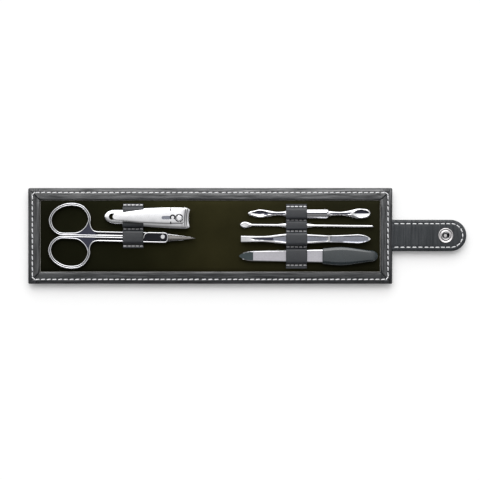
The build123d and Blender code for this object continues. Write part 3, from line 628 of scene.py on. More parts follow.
# ================================================================== case
EDGE_DEPTH = 9.0
COVER_INSIDE, SKIN_MIDDLE, LIFT_FROM = 0.9, 1.9, 2.9
EDGE_OUTSIDE = [
    (7.30, 3.12), (7.30, 3.72), (7.16, 3.93), (6.85, 4.00), (5.80, 3.94), (4.60, 3.85), (3.75, 3.78),
    (3.30, 3.73), (3.05, 3.64), (2.80, 3.57), (2.55, 3.57), (2.25, 3.62), (1.80, 3.55), (1.30, 3.36),
    (0.85, 3.10), (0.45, 2.78), (0.18, 2.42), (0.04, 2.10), (0.00, 1.75), (0.04, 1.30), (0.20, 0.88),
    (0.50, 0.46), (0.95, 0.16), (1.60, 0.02), (2.40, 0.0), (2.80, 0.10), (3.20, 0.0), (EDGE_DEPTH, 0.0),
]
EDGE_INSIDE = [(EDGE_DEPTH, COVER_INSIDE), (0.95, COVER_INSIDE), (0.90, 1.3), (0.90, 3.06), (7.30, 3.12)]
MITRE_SHOULDER, MITRE_STEPS = 0.5, 8
STRAIGHT_END, STRAIGHT_STEP, BREADTH_STEP = 101.5, 3.0, 2.9


def panel_stations():
    """Outline of one half of the case from the middle of the spine round the end and back,
    and the number of its first corner station."""
    r, shoulder = CORNER_ROUND, MITRE_SHOULDER
    lengths = spread(0.0, FOLD_ZONE, FOLD_STEP) + spread(FOLD_ZONE, STRAIGHT_END, STRAIGHT_STEP)[1:]
    breadths = [CASE_SIDE - EDGE_DEPTH - shoulder - i * BREADTH_STEP for i in range(1, 7)]
    half = [((x, CASE_SIDE), (0, -1), r, (0, -1)) for x in lengths]
    half.append(((CASE_END - r - shoulder, CASE_SIDE), (0, -1), r, (-1, -1)))
    for i in range(MITRE_STEPS + 1):
        a = math.radians(90 - 90 * i / MITRE_STEPS)
        c, s = math.cos(a), math.sin(a)
        half.append(((CASE_END - r + r * c, CASE_SIDE - r + r * s), (-c, -s), r, (-1, -1)))
    half.append(((CASE_END, CASE_SIDE - r - shoulder), (-1, 0), r, (-1, -1)))
    half += [((CASE_END, y), (-1, 0), r, (-1, 0)) for y in breadths]
    return half + mirrored_side(half, 0.0), len(lengths) + 1


def mirrored_side(stations, middle):
    """Stations of the other side, in the opposite order."""
    return [((x, 2 * middle - y), (ix, -iy), reach, (jx, -jy))
            for (x, y), (ix, iy), reach, (jx, jy) in reversed(stations)]


def grid_lines():
    """X and Y places where the flat of the cover meets its swept edge."""
    stations, _ = panel_stations()
    inner = [inset_point(s, EDGE_DEPTH) for s in stations]
    xs = sorted({round(x, 4) for x, y in inner})
    ys = sorted({round(y, 4) for x, y in inner if x > CASE_END - EDGE_DEPTH - 0.001})
    return xs, ys


def cover_skin(side):
    """Leatherette wrapped round one half of the case, with its turned and mitred margin."""
    dip = bpy.context.scene.case_sizes.mitre_depth / MM
    stations, first_corner = panel_stations()
    corners = set(range(first_corner, first_corner + MITRE_STEPS + 1))
    corners |= {len(stations) - 1 - i for i in corners}

    def lift(index, distance, x, y, z):
        if z < LIFT_FROM or distance > BORDER - 0.1:
            return 0.0
        soft = ripple(x * side, y, 9.0, 0.05) * ease(distance / 1.5)
        if index in corners and distance > 0.1:
            soft -= dip * (0.5 + 0.5 * ease((distance - 1.5) / 0.6))
        return soft

    bm = bmesh.new()
    edge_sweep(bm, stations, EDGE_OUTSIDE + EDGE_INSIDE, lift)
    xs, ys = grid_lines()
    for z in (0.0, COVER_INSIDE):
        skin_rows(bm, [[(x, y, z) for y in ys] for x in xs])
    if side < 0:
        mirror_lengthwise(bm)
    for face in bm.faces:
        if face.calc_center_median().z > SKIN_MIDDLE:
            face.material_index = 1
    name = "left_cover_skin" if side < 0 else "right_cover_skin"
    return finish_piece(name, bm, ["leatherette", "turned_leather"], sharp=55, weld=0.01)


CROWN_REACH, PILE_SINK = 2.6, 0.06


def lining_pad(side):
    """Padded velvet field of one half, crowned inside the turned margin."""
    end, half = CASE_END - BORDER - WINDOW_GAP, CASE_SIDE - BORDER - WINDOW_GAP
    rim, field, step = [0.0, 0.12, 0.35, 0.7, 1.15, 1.7, 2.4], 4.0, 2.4
    xs = spread(0.0, FOLD_ZONE, FOLD_STEP) + spread(FOLD_ZONE, end - field, step)[1:]
    xs += [end - d for d in reversed(rim)]
    ys = [-half + d for d in rim] + spread(-half + field, half - field, step)
    ys += [half - d for d in reversed(rim)]

    def top(x, y):
        d = min(end - x, half - abs(y))
        crown = (LINING_TOP - LINING_TUCK) * math.sqrt(ease(d / CROWN_REACH))
        return LINING_TUCK + crown - PILE_SINK + ripple(x * side, y, 14.0, 0.05) * ease(d / 3.0)

    bm = bmesh.new()
    skin_rows(bm, [[(x, y, top(x, y)) for y in ys] for x in xs])
    skin_rows(bm, [[(x, y, LINING_BASE) for y in ys] for x in xs])
    outline = [(x, ys[0]) for x in xs] + [(xs[-1], y) for y in ys[1:]]
    outline += [(x, ys[-1]) for x in reversed(xs[:-1])]
    skin_rows(bm, [[(x, y, LINING_BASE), (x, y, top(x, y))] for x, y in outline])
    if side < 0:
        mirror_lengthwise(bm)
    name = "left_velvet" if side < 0 else "right_velvet"
    return finish_piece(name, bm, ["velvet"], sharp=60, weld=0.01)


def bend_at_fold(piece, side):
    """Bakes the transform of one half into its mesh; both halves are treated the same."""
    if side < 0:
        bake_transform(piece)
    else:
        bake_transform(piece)


class OBJECT_OT_case_cover(bpy.types.Operator):
    """Leatherette cover with turned margins, for both halves of the case"""
    bl_idname = "object.case_cover"
    bl_label = "Case Cover"

    def execute(self, context):
        for side, own in ((-1, ("left_cover", "spine_cover")), (1, ("right_cover",))):
            skin = cover_skin(side)
            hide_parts(*own)
            bend_at_fold(skin, side)
        return {"FINISHED"}


class OBJECT_OT_case_lining(bpy.types.Operator):
    """Padded velvet lining, for both halves of the case"""
    bl_idname = "object.case_lining"
    bl_label = "Case Lining"

    def execute(self, context):
        for side, own in ((-1, ("left_lining", "spine_lining")), (1, ("right_lining",))):
            pad = lining_pad(side)
            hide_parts(*own)
            bend_at_fold(pad, side)
        return {"FINISHED"}


# ================================================================== stitching
# The (height, thickness) of the stitches above and below each seam.
CASE_STITCHES, STRAP_STITCHES = ((3.76, 0.46), (0.10, 0.30)), ((2.70, 0.46), (0.22, 0.26))
STITCH_SIDES, STITCH_ROWS = 10, 9


def stitch(bm, x, y, z, angle, length, width, height, seed):
    """One tight stitch: two plies twisted together, dipping into the leather at both ends."""
    rows = []
    a = math.radians(angle)
    for i in range(STITCH_ROWS):
        t = i / (STITCH_ROWS - 1)
        along = (t - 0.5) * length
        swell = max(math.sqrt(max(0.0, 1.0 - abs(2 * t - 1) ** 6)), 0.3)
        sink = height * 0.30 * abs(2 * t - 1) ** 4
        row = []
        for k in range(STITCH_SIDES):
            b = 2 * math.pi * k / STITCH_SIDES
            ply = 1.0 + 0.06 * math.cos(2 * (b - 5.0 * t - seed))
            across = width / 2 * swell * ply * math.cos(b)
            up = height / 2 * swell * ply * math.sin(b) - sink
            row.append((x + along * math.cos(a) - across * math.sin(a),
                        y + along * math.sin(a) + across * math.cos(a), z + up))
        rows.append(row)
    closed_skin(bm, rows)


def seam_piece(name, places, stitches, lean=0.0, waver=0.0):
    """Thread of a seam: one stitch above and one below at each place, leaning opposite ways."""
    sizes = bpy.context.scene.case_sizes
    length, width = sizes.stitch_length / MM, sizes.thread_width / MM
    upper, lower = stitches
    bm = bmesh.new()
    for i, (x, y, angle) in enumerate(places):
        turn = lean + waver * noise.noise(Vector((x, y, 0.5)))
        stitch(bm, x, y, upper[0], angle + turn, length, width, upper[1], i)
        stitch(bm, x, y, lower[0], angle - turn, length, width, lower[1], i)
    return finish_piece(name, bm, ["thread"], sharp=80, weld=0)


def seam_row(start, end, pitch):
    """Places and angle of even stitches along a straight seam."""
    (x0, y0), (x1, y1) = start, end
    span = math.hypot(x1 - x0, y1 - y0)
    count = max(1, round(span / pitch))
    angle = math.degrees(math.atan2(y1 - y0, x1 - x0))
    for i in range(count):
        t = (i + 0.5) / count
        yield x0 + (x1 - x0) * t, y0 + (y1 - y0) * t, angle


def case_seam(body):
    """Stitch places of the seam round the case that ride on one body."""
    sizes = bpy.context.scene.case_sizes
    inset, pitch = sizes.stitch_inset / MM, sizes.stitch_pitch / MM
    y, end = CASE_SIDE - inset, CASE_END - inset
    fold, gap, turn = FOLD_X + 0.4, 0.8, 1.3
    if body == "spine":
        rows = [((-fold + gap, side * y), (fold - gap, side * y)) for side in (1, -1)]
    else:
        s = -1 if body == "left_panel" else 1
        corners = [(s * fold, y), (s * (end - turn), y), (s * end, y - turn)]
        corners += [(x, -y) for x, y in reversed(corners)]
        rows = zip(corners, corners[1:])
    for start, finish in rows:
        yield from seam_row(start, finish, pitch)


class OBJECT_OT_case_stitching(bpy.types.Operator):
    """Seam of waxed thread round the case, inside and outside"""
    bl_idname = "object.case_stitching"
    bl_label = "Case Stitching"

    def execute(self, context):
        for body, node in (("left_panel", "left_edge_stitching"), ("spine", "spine_stitching"),
                           ("right_panel", "right_edge_stitching")):
            name = node.replace("stitching", "thread")
            piece = seam_piece(name, case_seam(body), CASE_STITCHES, lean=5.0, waver=3.0)
            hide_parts(node)
            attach(piece, body)
        return {"FINISHED"}


# ================================================================== strap
STRAP_PROFILE = [
    (9.6, 2.80), (7.0, 2.80), (4.6, 2.79), (3.4, 2.76), (2.95, 2.70), (2.65, 2.62), (2.40, 2.58),
    (2.15, 2.62), (1.85, 2.70), (1.30, 2.70), (0.80, 2.58), (0.38, 2.32), (0.12, 1.95), (0.0, 1.50),
    (0.12, 1.02), (0.38, 0.62), (0.80, 0.34), (1.40, 0.22), (2.4, 0.20), (9.6, 0.20),
]


STRAP_STEP, STRAP_REACH = 0.8, 20.0
TONGUE_CENTRE, TONGUE_STEPS = STRAP_END - STRAP_HALF, 36
STRAP_PITCH = 3.4
STRAP_MIDDLE, CREASE_DEPTH, CREASE_REACH = 1.5, 0.13, 0.7
SOCKET_OPENING, OPENING_LEVEL = (3.2, 2.0), 2.5


def strap_side(x0, x1):
    """Stations of the strap's far edge."""
    return [((x, STRAP_Y + STRAP_HALF), (0, -1), STRAP_REACH, (0, -1)) for x in spread(x0, x1, STRAP_STEP)]


def fold_crease(index, distance, x, y, z):
    """Shallow creases where the strap folds, with a little waviness on its faces."""
    soft = ripple(x, y, 8.0, 0.05) * ease(distance / 1.5)
    if z > STRAP_MIDDLE:
        for fold in (STRAP_FOLD + 0.6, TAB_FOLD):
            soft -= CREASE_DEPTH * math.exp(-((x - fold) / CREASE_REACH) ** 2)
    return soft


def strap_base():
    """Edges of the strap from inside the case to where its tongue begins."""
    bm = bmesh.new()
    side = strap_side(STRAP_START, STRAP_JOIN)
    edge_sweep(bm, side, STRAP_PROFILE, fold_crease)
    edge_sweep(bm, mirrored_side(side, STRAP_Y), STRAP_PROFILE, fold_crease)
    return finish_piece("strap_base", bm, ["strap_leather"], sharp=60, weld=0.01)


def strap_tongue():
    """Round end of the strap, open on top where the socket sits."""
    bm = bmesh.new()
    side = strap_side(STRAP_JOIN, TONGUE_CENTRE)
    half_turn = []
    for i in range(1, TONGUE_STEPS):
        a = math.radians(90 - 180 * i / TONGUE_STEPS)
        c, s = math.cos(a), math.sin(a)
        edge_point = (TONGUE_CENTRE + STRAP_HALF * c, STRAP_Y + STRAP_HALF * s)
        half_turn.append((edge_point, (-c, -s), STRAP_REACH, (-c, -s)))
    edge_sweep(bm, side + half_turn + mirrored_side(side, STRAP_Y), STRAP_PROFILE, fold_crease)
    half_x, half_y = SOCKET_OPENING
    under_socket = []
    for face in bm.faces:
        x, y, z = face.calc_center_median()
        if z > OPENING_LEVEL and abs(x - SOCKET_X) < half_x and abs(y - STRAP_Y) < half_y:
            under_socket.append(face)
    bmesh.ops.delete(bm, geom=under_socket, context="FACES")
    return finish_piece("strap_tongue", bm, ["strap_leather"], sharp=60, weld=0.01)


def strap_seam(body):
    """Stitch places of the strap's seam that ride on one body."""
    half = STRAP_HALF - bpy.context.scene.case_sizes.strap_stitch_inset / MM
    riser = body == "strap_riser"
    low, high = (STRAP_FOLD + 0.1, TAB_FOLD - 0.1) if riser else (TAB_FOLD + 0.1, TONGUE_CENTRE)
    for y in (STRAP_Y + half, STRAP_Y - half):
        yield from seam_row((low, y), (high, y), STRAP_PITCH)
    turns = 0 if riser else round(math.pi * half / STRAP_PITCH)
    for i in range(turns):
        angle = -90 + 180 * (i + 0.5) / turns
        a = math.radians(angle)
        yield TONGUE_CENTRE + half * math.cos(a), STRAP_Y + half * math.sin(a), angle + 90


class OBJECT_OT_case_strap(bpy.types.Operator):
    """Closing strap, creased where it bends at the case edge and again at the cover"""
    bl_idname = "object.case_strap"
    bl_label = "Strap"

    def execute(self, context):
        base = strap_base()
        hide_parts("riser_outer_leather", "riser_inner_leather", "riser_core", "strap_root")
        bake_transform(base)
        tongue = strap_tongue()
        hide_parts("tab_outer_leather", "tab_inner_leather", "tab_core")
        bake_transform(tongue)
        for body, node in (("strap_riser", "riser_stitching"), ("strap_tab", "tab_stitching")):
            piece = seam_piece(node.replace("stitching", "thread"), strap_seam(body), STRAP_STITCHES)
            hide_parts(node)
            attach(piece, body)
        return {"FINISHED"}


# ================================================================== snap
TURNED_STEPS = 48
SPRING_LEVEL, SPRING_WIRE, WIRE_SIDES = 3.16, 0.17, 8
SPRING_PATH = [(0.2, 2.62), (1.0, 2.2), (1.63, 1.63), (0.9, 1.63), (0.0, 1.63), (-0.9, 1.63),
               (-1.63, 1.63), (-1.0, 2.2), (-0.2, 2.62)]
# The hole is painted dark as shade from the edge of its light middle out to its wall, and up to its lip.
SOCKET_MIDDLE = 0.8
SOCKET_HOLE, SOCKET_LIP = 2.25, 2.9
SOCKET_PROFILE = [
    (0.0, 1.05), (0.95, 1.05), (2.15, 1.05), (2.20, 1.2), (2.20, 3.30), (2.28, 3.44), (2.45, 3.50),
    (2.70, 3.50), (2.88, 3.42), (2.98, 3.24), (3.15, 3.12), (3.45, 3.10), (3.75, 3.18), (4.00, 3.30),
    (4.22, 3.34), (4.45, 3.28), (4.60, 3.10), (4.65, 2.86), (4.60, 2.66), (4.40, 2.60), (3.10, 2.60),
    (3.10, 0.3), (0.0, 0.3),
]
CAP_PROFILE = [
    (0.0, -0.40), (2.6, -0.38), (3.8, -0.30), (4.5, -0.16), (4.95, 0.06), (5.15, 0.22), (5.20, 0.34),
    (5.10, 0.42), (4.8, 0.40), (4.4, 0.30), (0.0, 0.30),
]
STUD_PROFILE = [
    (0.0, -2.30), (1.2, -2.28), (1.7, -2.12), (1.98, -1.86), (2.05, -1.62), (1.98, -1.38), (1.75, -1.22),
    (1.48, -1.12), (1.40, -0.95), (1.40, -0.62), (1.55, -0.44), (1.9, -0.34), (3.3, -0.32), (3.9, -0.33),
    (4.25, -0.26), (4.40, -0.12), (4.38, 0.04), (4.1, 0.10), (0.0, 0.10),
]


def turned_part(bm, x, y, profile):
    """Solid of revolution about a vertical axis; the profile runs (radius, height)."""
    rows = []
    for i in range(TURNED_STEPS):
        a = 2 * math.pi * i / TURNED_STEPS
        rows.append([(x + r * math.cos(a), y + r * math.sin(a), z) for r, z in profile])
    rows.append(rows[0])
    skin_rows(bm, rows)


def paint_socket_shade(bm):
    """Paints shade on the walls and the outer floor of the socket's hole with the dark finish."""
    for face in bm.faces:
        x, y, z = face.calc_center_median() - Vector((SOCKET_X, STRAP_Y, 0.0))
        if SOCKET_MIDDLE < math.hypot(x, y) < SOCKET_HOLE and z < SOCKET_LIP:
            face.material_index = 1


def wire_tube(bm, points, radius):
    """Round wire along level points."""
    path = curve_through(points, 4)
    rows = []
    for i, p in enumerate(path):
        along = (path[min(i + 1, len(path) - 1)] - path[max(i - 1, 0)]).normalized()
        side = Vector((-along.y, along.x, 0.0)).normalized()
        up = along.cross(side)
        rows.append([p + radius * (math.cos(b) * side + math.sin(b) * up)
                     for b in (2 * math.pi * k / WIRE_SIDES for k in range(WIRE_SIDES))])
    closed_skin(bm, rows)


class OBJECT_OT_case_snap(bpy.types.Operator):
    """Snap fastener: socket with its spring and cap on the strap, stud on the left panel"""
    bl_idname = "object.case_snap"
    bl_label = "Snap Fastener"

    def execute(self, context):
        for name, x, profile, node, body in (
            ("socket_ring", SOCKET_X, SOCKET_PROFILE, "snap_socket", "strap_tab"),
            ("cap_dome", SOCKET_X, CAP_PROFILE, "snap_cap", "strap_tab"),
            ("stud_button", STUD_X, STUD_PROFILE, "snap_stud", "left_panel"),
        ):
            bm = bmesh.new()
            turned_part(bm, x, STRAP_Y, profile)
            if node == "snap_socket":
                paint_socket_shade(bm)
            piece = finish_piece(name, bm, ["snap_metal", "dark_steel"], sharp=50, weld=0.001)
            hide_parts(node)
            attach(piece, body)
        bm = bmesh.new()
        for side in (1, -1):
            path = [(SOCKET_X + dx, STRAP_Y + side * dy, SPRING_LEVEL) for dx, dy in SPRING_PATH]
            wire_tube(bm, path, SPRING_WIRE)
        spring = finish_piece("socket_spring", bm, ["spring_steel"], sharp=80, weld=0)
        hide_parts("snap_spring")
        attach(spring, "strap_tab")
        return {"FINISHED"}


# ================================================================== tool loops
# Arches are (near side, far side, inner height); rows are the Y places of the sewn seams.
LEFT_LOOP, RIGHT_LOOP = (-53.2, -40.7), (46.2, 59.0)
CLIPPER_ARCH, SCISSORS_ARCH = (5.71, 17.30, 8.18), (-4.15, 2.90, 7.35)
RIGHT_ARCHES = ((-16.2, -8.2, 6.88), (-5.2, 1.6, 9.35), (4.32, 8.52, 6.35), (10.75, 16.65, 7.35))
LEFT_LOW, LEFT_SEAM, LEFT_HIGH = -7.3, 4.30, 19.8
RIGHT_LOW, RIGHT_HIGH = -19.8, 19.5
LEFT_ROWS, RIGHT_ROWS = (18.9, LEFT_SEAM, -6.08), (-17.75, -6.7, 2.96, 9.64, 17.93)
LOOP_STITCH = {"z": 4.72, "length": 2.05, "width": 0.74, "height": 0.44}
LOOP_STITCHES, CORNER_STEPS, SAG, SAG_FROM = 5, 5, 0.10, 4.9
# The leather thins towards its ends; each step is (distance from the end, share of the thickness).
EDGE_TAPER = ((0.0, 0.35), (0.08, 0.72), (0.28, 0.94), (0.7, 1.0))


def rounded_run(corners):
    """Open YZ line with its corners rounded; each corner is (y, z, radius)."""
    run = []
    for i, (y, z, r) in enumerate(corners):
        p = Vector((y, z))
        if i in (0, len(corners) - 1) or r <= 0:
            run.append(p)
            continue
        a, b = Vector(corners[i - 1][:2]), Vector(corners[i + 1][:2])
        u, v = (a - p), (b - p)
        reach = min(r, u.length * 0.49, v.length * 0.49)
        p0, p2 = p + u.normalized() * reach, p + v.normalized() * reach
        for s in range(CORNER_STEPS + 1):
            t = s / CORNER_STEPS
            run.append((1 - t) ** 2 * p0 + 2 * t * (1 - t) * p + t * t * p2)
    return run


def loop_corners(low, high, arches, leather):
    """Corners of a loop strip's outer face over its tools."""
    flat, foot_round, top_round = LINING_TOP + leather, 0.3, 1.9
    corners = [(low, flat, 0)]
    for y0, y1, height in arches:
        corners += [
            (y0 - leather - 0.1, flat, foot_round), (y0 - leather + 0.1, height + leather, top_round),
            (y1 + leather - 0.1, height + leather, top_round), (y1 + leather + 0.1, flat, foot_round),
        ]
    return corners + [(high, flat, 0)]


def loop_piece(name, x0, x1, low, high, arches):
    """Strip of leather that lies on the lining and rises over its tools."""
    leather = bpy.context.scene.case_sizes.loop_leather / MM
    outer = rounded_run(loop_corners(low, high, arches, leather))
    inner = []
    for i, p in enumerate(outer):
        along = (outer[min(i + 1, len(outer) - 1)] - outer[max(i - 1, 0)]).normalized()
        inner.append(p + leather * Vector((along.y, -along.x)))
    places = [(x0 + d, share) for d, share in EDGE_TAPER]
    places += [(x, 1.0) for x in spread(x0 + 2.0, x1 - 2.0, 1.4)]
    places += [(x1 - d, share) for d, share in reversed(EDGE_TAPER)]
    rows = []
    for x, share in places:
        row = []
        for o, i in zip(outer, inner):
            mid = (o + i) / 2
            p = mid + (o - mid) * share
            sag = SAG * math.sin(math.pi * (x - x0) / (x1 - x0)) * ease((p.y - SAG_FROM) / 1.5)
            row.append((x, p.x, p.y - sag + ripple(x, p.x, 5.0, 0.04)))
        for o, i in reversed(list(zip(outer, inner))):
            mid = (o + i) / 2
            p = mid + (i - mid) * share
            row.append((x, p.x, p.y))
        rows.append(row)
    bm = bmesh.new()
    made = skin_rows(bm, rows, closed=True)
    for row in (made[0], made[-1]):
        for i in range(len(outer) - 1):
            bm.faces.new((row[i], row[i + 1], row[-2 - i], row[-1 - i]))
    return finish_piece(name, bm, ["loop_leather"], sharp=55, weld=0.001)


def loop_thread(name, x0, x1, rows):
    """Seams across a loop strip, one at each Y place in rows."""
    bm = bmesh.new()
    for row in rows:
        for i, (x, y, angle) in enumerate(seam_row((x0, row), (x1, row), (x1 - x0) / LOOP_STITCHES)):
            stitch(bm, x, y, angle=angle, seed=i, **LOOP_STITCH)
    return finish_piece(name, bm, ["thread"], sharp=80, weld=0)


class OBJECT_OT_case_loops(bpy.types.Operator):
    """Leather strips that hold the six tools down, sewn to the lining between them"""
    bl_idname = "object.case_loops"
    bl_label = "Tool Loops"

    def execute(self, context):
        clipper = loop_piece("clipper_leather_loop", *LEFT_LOOP, LEFT_SEAM, LEFT_HIGH, [CLIPPER_ARCH])
        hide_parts("clipper_loop")
        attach(clipper, "left_panel")
        scissor = loop_piece("scissor_leather_loop", *LEFT_LOOP, LEFT_LOW, LEFT_SEAM, [SCISSORS_ARCH])
        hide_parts("scissor_loop")
        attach(scissor, "left_panel")
        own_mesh(scissor)
        right = loop_piece("right_leather_loops", *RIGHT_LOOP, RIGHT_LOW, RIGHT_HIGH, RIGHT_ARCHES)
        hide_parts("right_loop_strip")
        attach(right, "right_panel")
        for name, (x0, x1), rows, node, body in (
            ("left_loop_thread", LEFT_LOOP, LEFT_ROWS, "left_loop_stitching", "left_panel"),
            ("right_loop_thread", RIGHT_LOOP, RIGHT_ROWS, "right_loop_stitching", "right_panel"),
        ):
            thread = loop_thread(name, x0, x1, rows)
            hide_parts(node)
            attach(thread, body)
        return {"FINISHED"}


# ================================================================== metal forms
ABOVE_TOOLS = 13.0


def bar_form(bm, xs, us, half, top, low, centre=0.0, bow=None, finish=None):
    """Long metal form along X. At each x it spans centre +/- half(x), with heights top(x, u)
    and low(x, u) for u from -1 to 1; bow(x, u) shifts points along X, finish(x, u) gives the
    material of an upper face."""
    rows = []
    for x in xs:
        w = half(x)
        shift = [bow(x, u) if bow else 0.0 for u in us]
        row = [(x + s, centre + u * w, top(x, u)) for s, u in zip(shift, us)]
        row += [(x + s, centre + u * w, low(x, u)) for s, u in reversed(list(zip(shift, us)))]
        rows.append(row)
    made = closed_skin(bm, rows)
    if finish:
        for a, b, x0, x1 in zip(made, made[1:], xs, xs[1:]):
            for i in range(len(us) - 1):
                face = next(f for f in a[i].link_faces if a[i + 1] in f.verts and b[i] in f.verts)
                face.material_index = finish((x0 + x1) / 2, (us[i] + us[i + 1]) / 2)


def rounded_end(x, start, reach, width, power=2.0, fullness=0.5, least=0.04):
    """Half width that closes from width at start to a round point at a distance of reach."""
    return max(least, width * max(0.0, 1 - (abs(x - start) / reach) ** power) ** fullness)


def between_ends(x, start, end, rise, fall):
    """One between start and end, easing off to nothing at both."""
    return ease((x - start) / rise) * ease((end - x) / fall)


def edge_drop(u, depth=0.44, start=0.80, power=2.0):
    """How far a face falls away past the share start of its half width."""
    return depth * max(0.0, (abs(u) - start) / (1 - start)) ** power


def round_top(u, power=2.0):
    """Height of a rounded section as a share of its thickness."""
    return math.sqrt(max(0.0, 1 - abs(u) ** power))


def hollow(x, u, centre, reach, breadth):
    """Depth of an oval hollow as a share of its full depth."""
    return math.sqrt(max(0.0, 1 - ((x - centre) / reach) ** 2 - (u / breadth) ** 2))


def even_columns(count):
    """Columns from edge to edge that lie closer towards the edges."""
    return [-math.cos(math.pi * i / count) for i in range(count + 1)]


def rim_columns(*shares):
    """Columns from edge to edge, mirrored about the middle; shares run from 1 inwards."""
    return [-s for s in shares] + [0.0] + [s for s in reversed(shares)]


def relief_plate(bm, outlines, top, low, top_steps, low_steps, recess_after):
    """Flat form with a stepped relief. Steps are (inset from the edge, height above top or low);
    upper faces further in than recess_after take the second material."""
    walls = []
    for level, steps, upper in ((top, top_steps, True), (low, low_steps, False)):
        loops = [[bm.verts.new((x, y, level + steps[0][1])) for x, y in outline] for outline in outlines]
        edges = [bm.edges.new((a, b)) for loop in loops for a, b in zip(loop, loop[1:] + loop[:1])]
        faces = [g for g in bmesh.ops.triangle_fill(bm, use_beauty=True, edges=edges)["geom"]
                 if isinstance(g, bmesh.types.BMFace)]
        walls.append(loops)
        reached = steps[0][0]
        for inset, height in steps[1:]:
            bmesh.ops.inset_region(bm, faces=faces, thickness=inset - reached, depth=0.0,
                                   use_boundary=True, use_even_offset=True)
            reached = inset
            for v in {v for f in faces for v in f.verts}:
                v.co.z = level + height
            if upper and inset > recess_after:
                for f in faces:
                    f.material_index = 1
    for a, b in zip(*walls):
        for i in range(len(a)):
            j = (i + 1) % len(a)
            bm.faces.new((a[i], a[j], b[j], b[i]))


def cutter_rod(points, low, high):
    """Closed upright prism that a hole is cut with."""
    bm = bmesh.new()
    closed_skin(bm, [[(x, y, z) for x, y in points] for z in (low, high)])
    return link_object("cutter", mesh_in_metres("cutter", bm))


def arc_points(x, y, radius, start, end, count):
    """Plan points of an arc, both ends included; angles in degrees."""
    return [(x + radius * math.cos(a), y + radius * math.sin(a))
            for a in (math.radians(start + (end - start) * i / count) for i in range(count + 1))]


def circle_points(x, y, radius, count=32):
    return arc_points(x, y, radius, 0, 360, count)[:-1]


def slot_points(x0, x1, y, radius):
    """Plan points of a slot with round ends at x0 and x1."""
    return arc_points(x1, y, radius, -90, 90, 16) + arc_points(x0, y, radius, 90, 270, 16)


def carve(piece, cutters, sharp):
    """Takes the closed cutters out of a piece for good and removes them."""
    for cutter in cutters:
        modifier = piece.modifiers.new("hole", "BOOLEAN")
        modifier.operation, modifier.object, modifier.solver = "DIFFERENCE", cutter, "MANIFOLD"
    bpy.context.view_layer.update()
    evaluated = piece.evaluated_get(bpy.context.evaluated_depsgraph_get())
    mesh = bpy.data.meshes.new_from_object(evaluated)
    piece.modifiers.clear()
    piece.data = mesh
    smooth_over(mesh, sharp)
    for cutter in cutters:
        bpy.data.objects.remove(cutter)


def cut_holes(piece, holes, pockets, sharp):
    """Cuts holes (outline, low) right through and pockets (outline, floor, finish) from above;
    the level floor of each pocket takes the material of that number."""
    carve(piece, [cutter_rod(outline, low, ABOVE_TOOLS) for outline, low, *_ in (*holes, *pockets)], sharp)
    for outline, floor, finish in pockets:
        for face in piece.data.polygons:
            if abs(face.center.z / MM - floor) < 0.01 and face.normal.z > 0.999:
                face.material_index = finish


def wear_down(piece, radius, segments):
    """Soft worn edges on a small metal part."""
    modifier = piece.modifiers.new("worn edges", "BEVEL")
    modifier.width, modifier.segments = radius * MM, segments
    modifier.limit_method, modifier.angle_limit = "ANGLE", math.radians(40)


# ================================================================== scissors
FINGER_HOLE = [
    (2.4, 9.9), (4.2, 13.8), (7.3, 16.3), (10.9, 17.8), (15.2, 18.2), (19.5, 17.3), (22.5, 14.7),
    (24.2, 11.1), (23.9, 8.3), (21.9, 5.0), (18.3, 2.47), (13.4, 1.97), (7.9, 2.07), (4.8, 3.8), (2.9, 6.5),
]
RING_WIRE, SHANK_LOW, SHANK_HIGH = 1.9, 0.12, 3.15
SHANK_START, SHANK_END, SHANK_STEP, RING_JOIN = 31.0, 57.6, 0.9, (25.9, 8.4)
THROAT = [(30.2, SHANK_HIGH), (28.0, 3.75), (26.6, 5.5), (26.0, 7.6)]
SCREW_ALONG, PLATE_HALF, PLATE_NOSE, PLATE_REACH, HEEL_ROUND = 70.1, 3.25, 73.5, 12.0, 3.6
# The halves meet at the middle plane; relief steps are (inset from the edge, height above the face).
HALF_MIDDLE, SHANK_HALF_THICK, PLATE_GAP, PLATE_THICK = 5.7, 0.85, 0.03, 1.47
UPPER_RELIEF = [
    (0.0, -0.52), (0.10, -0.24), (0.26, -0.06), (0.46, 0.0), (0.64, -0.04), (0.79, -0.18), (0.86, -0.36)]
UNDER_RELIEF = [(0.0, 0.50), (0.12, 0.20), (0.34, 0.0)]
CHANNEL_FROM, CHANNEL_NARROWING, CHANNEL_START, CHANNEL_END = 0.75, 0.10, 28.0, 59.0
RING_END, PLATE_START, PLATE_RISE = 29.0, 50.0, 7.0
BLADE_START, BLADE_TIP = 72.6, 90.2
BLADE_WIDTHS = [(BLADE_START, 2.2), (73.5, 2.15), (80.0, 1.52), (86.5, 0.72), (89.4, 0.28), (BLADE_TIP, 0.1)]
BLADE_HEIGHTS = [(BLADE_START, 1.28), (74.0, 1.24), (86.5, 0.72), (BLADE_TIP, 0.4)]
BLADE_SECTION = [(-1.0, 0.22), (-0.2, 0.80), (0.25, 1.0), (0.80, 0.96), (1.0, 0.66)]
GROUND_FROM, GROUND_TO = -0.9, 0.92


def grown(points, distance):
    """Closed outline moved outwards by a distance."""
    count = len(points)
    for i, (x, y) in enumerate(points):
        (ax, ay), (bx, by) = points[i - 1], points[(i + 1) % count]
        reach = math.hypot(bx - ax, by - ay)
        yield x - distance * (by - ay) / reach, y + distance * (bx - ax) / reach


